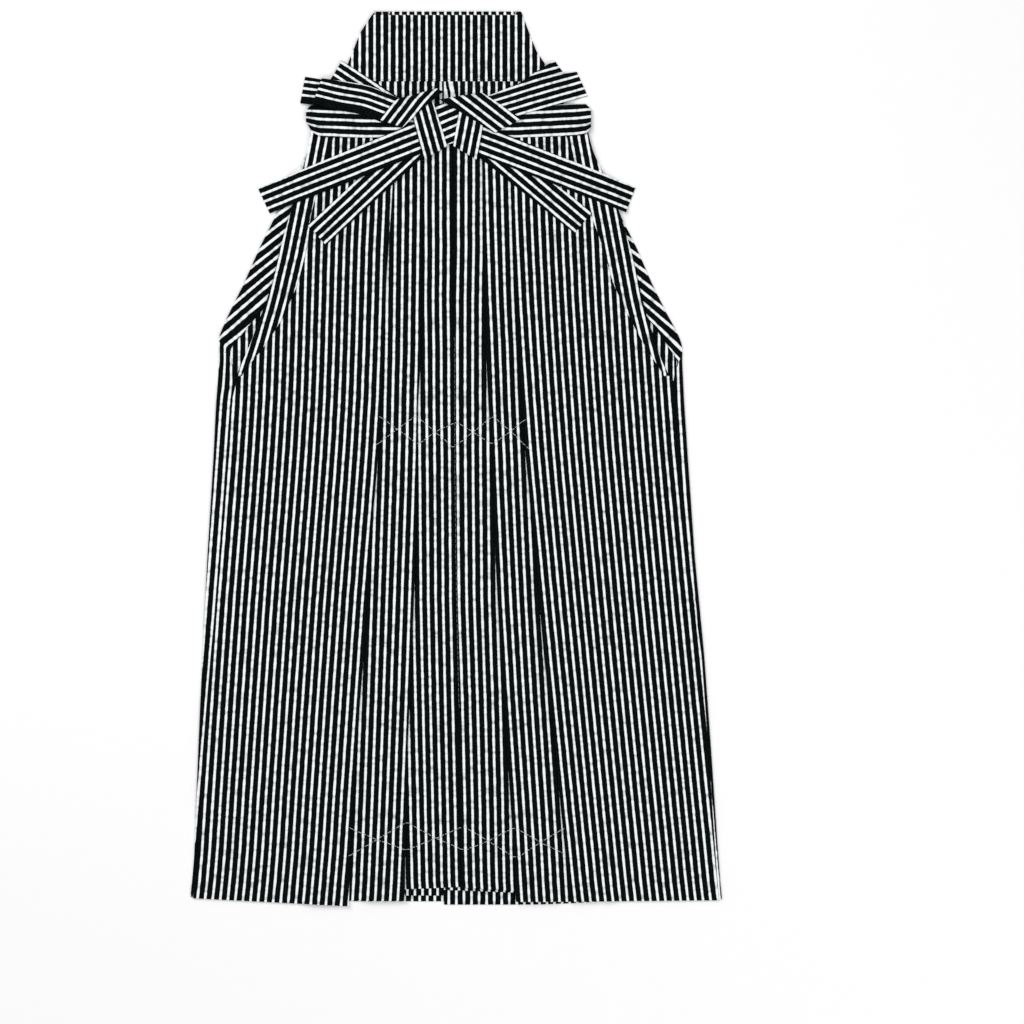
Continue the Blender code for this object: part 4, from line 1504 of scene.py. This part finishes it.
def stitch_tree():
    """Geometry nodes: curved stitches laid one after another along a path."""
    number = "NodeSocketFloat"
    tree = group_with(
        "running_stitches",
        "GeometryNodeTree",
        (
            ("Path", "NodeSocketGeometry", None),
            ("Stitch length", number, 0.004),
            ("Gap", number, 0.002),
            ("Thread radius", number, 0.0003),
            ("Turn", number, 0.06),
            ("Seed", "NodeSocketInt", 7),
            ("Thread", "NodeSocketMaterial", None),
        ),
        (("Stitches", "NodeSocketGeometry"),),
    )
    g = Graph(tree)
    source = g.node("NodeGroupInput").outputs
    path = g.node("GeometryNodeMeshToCurve", {"Mesh": source["Path"]}).outputs[0]
    spacing = g.math("ADD", source["Stitch length"], source["Gap"])
    sampled = g.node("GeometryNodeResampleCurve", {"Curve": path, "Length": spacing}, mode="LENGTH")
    half = g.math("MULTIPLY", source["Stitch length"], 0.5)
    dip = g.math("MULTIPLY", source["Thread radius"], STITCH_DIP)
    start = g.node("ShaderNodeCombineXYZ", {"X": g.math("MULTIPLY", half, -1.0), "Z": dip}).outputs[0]
    end = g.node("ShaderNodeCombineXYZ", {"X": half, "Z": dip}).outputs[0]
    crown = g.math("MULTIPLY", source["Thread radius"], STITCH_CROWN)
    top = g.node("ShaderNodeCombineXYZ", {"Z": crown}).outputs[0]
    bow = g.node(
        "GeometryNodeCurveQuadraticBezier",
        {"Resolution": STITCH_STEPS, "Start": start, "Middle": top, "End": end},
    )
    ring = g.node(
        "GeometryNodeCurvePrimitiveCircle",
        {"Resolution": THREAD_SIDES, "Radius": source["Thread radius"]},
    )
    stitch = g.node(
        "GeometryNodeCurveToMesh",
        {"Curve": bow.outputs[0], "Profile Curve": ring.outputs[0], "Fill Caps": True},
    ).outputs[0]
    tangent = g.node("GeometryNodeInputTangent").outputs[0]
    facing = g.node("FunctionNodeAlignRotationToVector", {"Vector": tangent}, axis="X", pivot_axis="Z")
    spread = g.node("FunctionNodeRandomValue", {"Seed": source["Seed"]}, data_type="FLOAT")
    g.put(spread.inputs[2], g.math("MULTIPLY", source["Turn"], -1.0))
    g.put(spread.inputs[3], source["Turn"])
    swing = g.node("ShaderNodeCombineXYZ", {"Z": spread.outputs[1]}).outputs[0]
    turned = g.node("FunctionNodeRotateRotation", {"Rotation": facing.outputs[0], "Rotate By": swing})
    placed_stitches = g.node(
        "GeometryNodeInstanceOnPoints",
        {"Points": sampled.outputs[0], "Instance": stitch, "Rotation": turned.outputs[0]},
    ).outputs[0]
    real = g.node("GeometryNodeRealizeInstances", {"Geometry": placed_stitches}).outputs[0]
    shaded = g.node("GeometryNodeSetShadeSmooth", {"Geometry": real}).outputs[0]
    done = g.node("GeometryNodeSetMaterial", {"Geometry": shaded, "Material": source["Thread"]}).outputs[0]
    g.node("NodeGroupOutput", {"Stitches": done})
    return tree


def thread_path(corners, radius, lie, maker):
    """Points of a thread that lies on the cloth, a short step apart."""
    points = []
    for (x0, up0), (x1, up1) in zip(corners[:-1], corners[1:]):
        steps = max(2, int(math.dist((x0, up0), (x1, up1)) / THREAD_STEP))
        for t in np.arange(steps) / steps:
            points.append((x0 + (x1 - x0) * t, up0 + (up1 - up0) * t))
    points = np.array(points + [corners[-1]], float)
    drift = [maker.uniform(-lie["stray"], lie["stray"]) for _ in range(points.size)]
    points = eased_line(points + np.array(drift).reshape(-1, 2), THREAD_EASINGS)
    heights = LAID.over(points[:, 0], points[:, 1], THREAD_REACH) + radius / MM * lie["above"]
    return np.concatenate([points, heights[:, None]], axis=1)


def sewn(name, paths, sizes, lie, material):
    """Runs the stitches along several paths, as one plain mesh."""
    mesh = bpy.data.meshes.new(name + "_path")
    points = np.concatenate([placed(path.copy()) for path in paths])
    edges = []
    base = 0
    for path in paths:
        edges += [(base + k, base + k + 1) for k in range(len(path) - 1)]
        base += len(path)
    mesh.from_pydata(points.tolist(), edges, [])
    guide = into_scene(name + "_path", mesh)
    tree = bpy.data.node_groups.get("running_stitches") or stitch_tree()
    modifier = guide.modifiers.new("stitches", "NODES")
    modifier.node_group = tree
    values = dict(zip(("Stitch length", "Gap", "Thread radius"), sizes))
    values.update({"Turn": lie["turn"], "Thread": material})
    for item in tree.interface.items_tree:
        if item.item_type == "SOCKET" and item.in_out == "INPUT" and item.name in values:
            modifier[item.identifier] = values[item.name]
    ready = guide.evaluated_get(bpy.context.evaluated_depsgraph_get())
    done = bpy.data.meshes.new_from_object(ready)
    done.name = name
    guide.modifiers.remove(modifier)
    bpy.data.objects.remove(guide)
    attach(into_scene(name, done), "root")


class HAKAMA_OT_basting(bpy.types.Operator):
    """Run the pale basting threads that hold the pleats, two crossing zigzags in each of two rows"""

    bl_idname = "hakama.basting"
    bl_label = "Basting threads"

    def execute(self, context):
        sewing = context.scene.hakama_sewing
        maker = random.Random(BASTING_SEED)
        thread = thread_material("basting_thread", tuple(sewing.basting_colour))
        sizes = (sewing.basting_stitch, sewing.basting_gap, sewing.basting_radius)
        paths = [thread_path(corners, sewing.basting_radius, BASTING_LIE, maker) for corners in BASTING]
        sewn("basting_threads", paths, sizes, BASTING_LIE, thread)
        return {"FINISHED"}


class HAKAMA_OT_seams(bpy.types.Operator):
    """Sew the waist board's lower edge, in near-black thread that also paints the board's shadow there, the
    tacks at the side pleats' points, and a grey line inside the middle fold's edge that paints its highlight
    """

    bl_idname = "hakama.seams"
    bl_label = "Seam stitches"

    def execute(self, context):
        sewing = context.scene.hakama_sewing
        maker = random.Random(SEAM_SEED)
        thread = thread_material("seam_and_shade_thread", tuple(sewing.seam_and_shade_colour))
        sizes = (sewing.seam_stitch, sewing.seam_gap, sewing.seam_radius)
        # Along the board's lower edge the near-black stitches also paint the board's shadow: painted shade.
        paths = [thread_path(BOARD_SEAM_AND_SHADE, sewing.seam_radius, SEAM_LIE, maker)]
        for (x0, up0), (x1, up1) in TACKS:
            for step in range(TACK_ROWS):
                off = TACK_STEP * (step - (TACK_ROWS - 1) / 2)
                row = ((x0, up0 + off), (x1, up1 + off))
                paths.append(thread_path(row, sewing.seam_radius, SEAM_LIE, maker))
        sewn("seam_stitches", paths, sizes, SEAM_LIE, thread)
        # A grey thread just inside the middle fold's edge paints the light caught on that edge: a painted
        # highlight.
        ups = np.arange(FOLD_LINE_FROM, FOLD_LINE_TO, FOLD_LINE_STEP)
        fold = [(at(FRONT, "middle", up) + FOLD_LINE_IN, up) for up in ups]
        highlight_thread = thread_material("fold_highlight_thread", tuple(sewing.fold_highlight_colour))
        sizes = (sewing.fold_stitch, sewing.fold_gap, sewing.fold_radius)
        path = thread_path(fold, sewing.fold_radius, FOLD_LIE, maker)
        sewn("fold_highlight_stitches", [path], sizes, FOLD_LIE, highlight_thread)
        return {"FINISHED"}


def area_light(name, place, size, power):
    data = bpy.data.lights.new(name, "AREA")
    data.shape = "SQUARE"
    data.size = size
    data.energy = power
    light = into_scene(name, data)
    light.location = place
    light.rotation_euler = (Vector(LIGHTS_AIM) - Vector(place)).to_track_quat("-Z", "Y").to_euler()


class HAKAMA_OT_stage(bpy.types.Operator):
    """Put down the pale floor, the soft studio lights and the camera straight above"""

    bl_idname = "hakama.stage"
    bl_label = "Stage"

    def execute(self, context):
        stage = context.scene.hakama_stage
        turns = ((-1, -1), (1, -1), (1, 1), (-1, 1))
        corners = [(x * FLOOR_REACH, y * FLOOR_REACH, -GAP * MM) for x, y in turns]
        mesh = bpy.data.meshes.new("floor")
        mesh.from_pydata(corners, [], [(0, 1, 2, 3)])
        pale = tuple(stage.floor_colour)
        material, shader, g = new_material("floor_paper", pale, FLOOR_ROUGHNESS)
        place = g.node("ShaderNodeTexCoord").outputs["Object"]
        grain = g.node("ShaderNodeTexNoise", {"Vector": place, "Scale": GRAIN_SCALE})
        low = tuple(c * GRAIN_SHADE for c in pale[:3]) + (1.0,)
        g.put(shader.inputs["Base Color"], g.mix(grain.outputs["Fac"], pale, low))
        shader.inputs["Specular IOR Level"].default_value = FLOOR_SHINE
        mesh.materials.append(material)
        into_scene("floor", mesh)
        area_light("key_light", *KEY_LIGHT, stage.key_power)
        area_light("fill_light", *FILL_LIGHT, stage.fill_power)
        world = bpy.data.worlds.new("studio")
        world.use_nodes = True
        sky = world.node_tree.nodes["Background"].inputs
        sky["Color"].default_value = (1.0, 1.0, 1.0, 1.0)
        sky["Strength"].default_value = stage.ambient
        context.scene.world = world
        context.scene.view_settings.view_transform = "Standard"
        data = bpy.data.cameras.new("camera")
        data.lens = stage.lens
        data.sensor_width = SENSOR_WIDTH
        camera = into_scene("camera", data)
        camera.location = CAMERA_PLACE + (stage.camera_height,)
        context.scene.camera = camera
        return {"FINISHED"}


OPERATORS = (
    HAKAMA_OT_back,
    HAKAMA_OT_inner_legs,
    HAKAMA_OT_waist_board,
    HAKAMA_OT_front,
    HAKAMA_OT_side_pleats,
    HAKAMA_OT_front_band,
    HAKAMA_OT_ties,
    HAKAMA_OT_basting,
    HAKAMA_OT_seams,
    HAKAMA_OT_stage,
)


class HAKAMA_PT_panel(bpy.types.Panel):
    """Lists the hakama's pieces and their sizes"""

    bl_idname = "HAKAMA_PT_panel"
    bl_label = "Striped Hakama"
    bl_space_type = "VIEW_3D"
    bl_region_type = "UI"
    bl_category = "Hakama"

    def draw(self, context):
        for group in (context.scene.hakama_cloth, context.scene.hakama_sewing, context.scene.hakama_stage):
            box = self.layout.box()
            for name in group.bl_rna.properties.keys():
                if name not in ("rna_type", "name"):
                    box.prop(group, name)
        for operator in OPERATORS:
            self.layout.operator(operator.bl_idname)


CLASSES = (HAKAMA_PG_cloth, HAKAMA_PG_sewing, HAKAMA_PG_stage) + OPERATORS + (HAKAMA_PT_panel,)


def register():
    for cls in CLASSES:
        bpy.utils.register_class(cls)
    bpy.types.Scene.hakama_cloth = bpy.props.PointerProperty(type=HAKAMA_PG_cloth)
    bpy.types.Scene.hakama_sewing = bpy.props.PointerProperty(type=HAKAMA_PG_sewing)
    bpy.types.Scene.hakama_stage = bpy.props.PointerProperty(type=HAKAMA_PG_stage)


def unregister():
    del bpy.types.Scene.hakama_stage
    del bpy.types.Scene.hakama_sewing
    del bpy.types.Scene.hakama_cloth
    for cls in reversed(CLASSES):
        bpy.utils.unregister_class(cls)


def main():
    register()
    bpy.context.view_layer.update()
    bpy.ops.hakama.back()
    bpy.ops.hakama.inner_legs()
    bpy.ops.hakama.waist_board()
    bpy.ops.hakama.front()
    bpy.ops.hakama.side_pleats()
    bpy.ops.hakama.front_band()
    bpy.ops.hakama.ties()
    bpy.ops.hakama.basting()
    bpy.ops.hakama.seams()
    bpy.ops.hakama.stage()


if __name__ == "__main__":
    main()
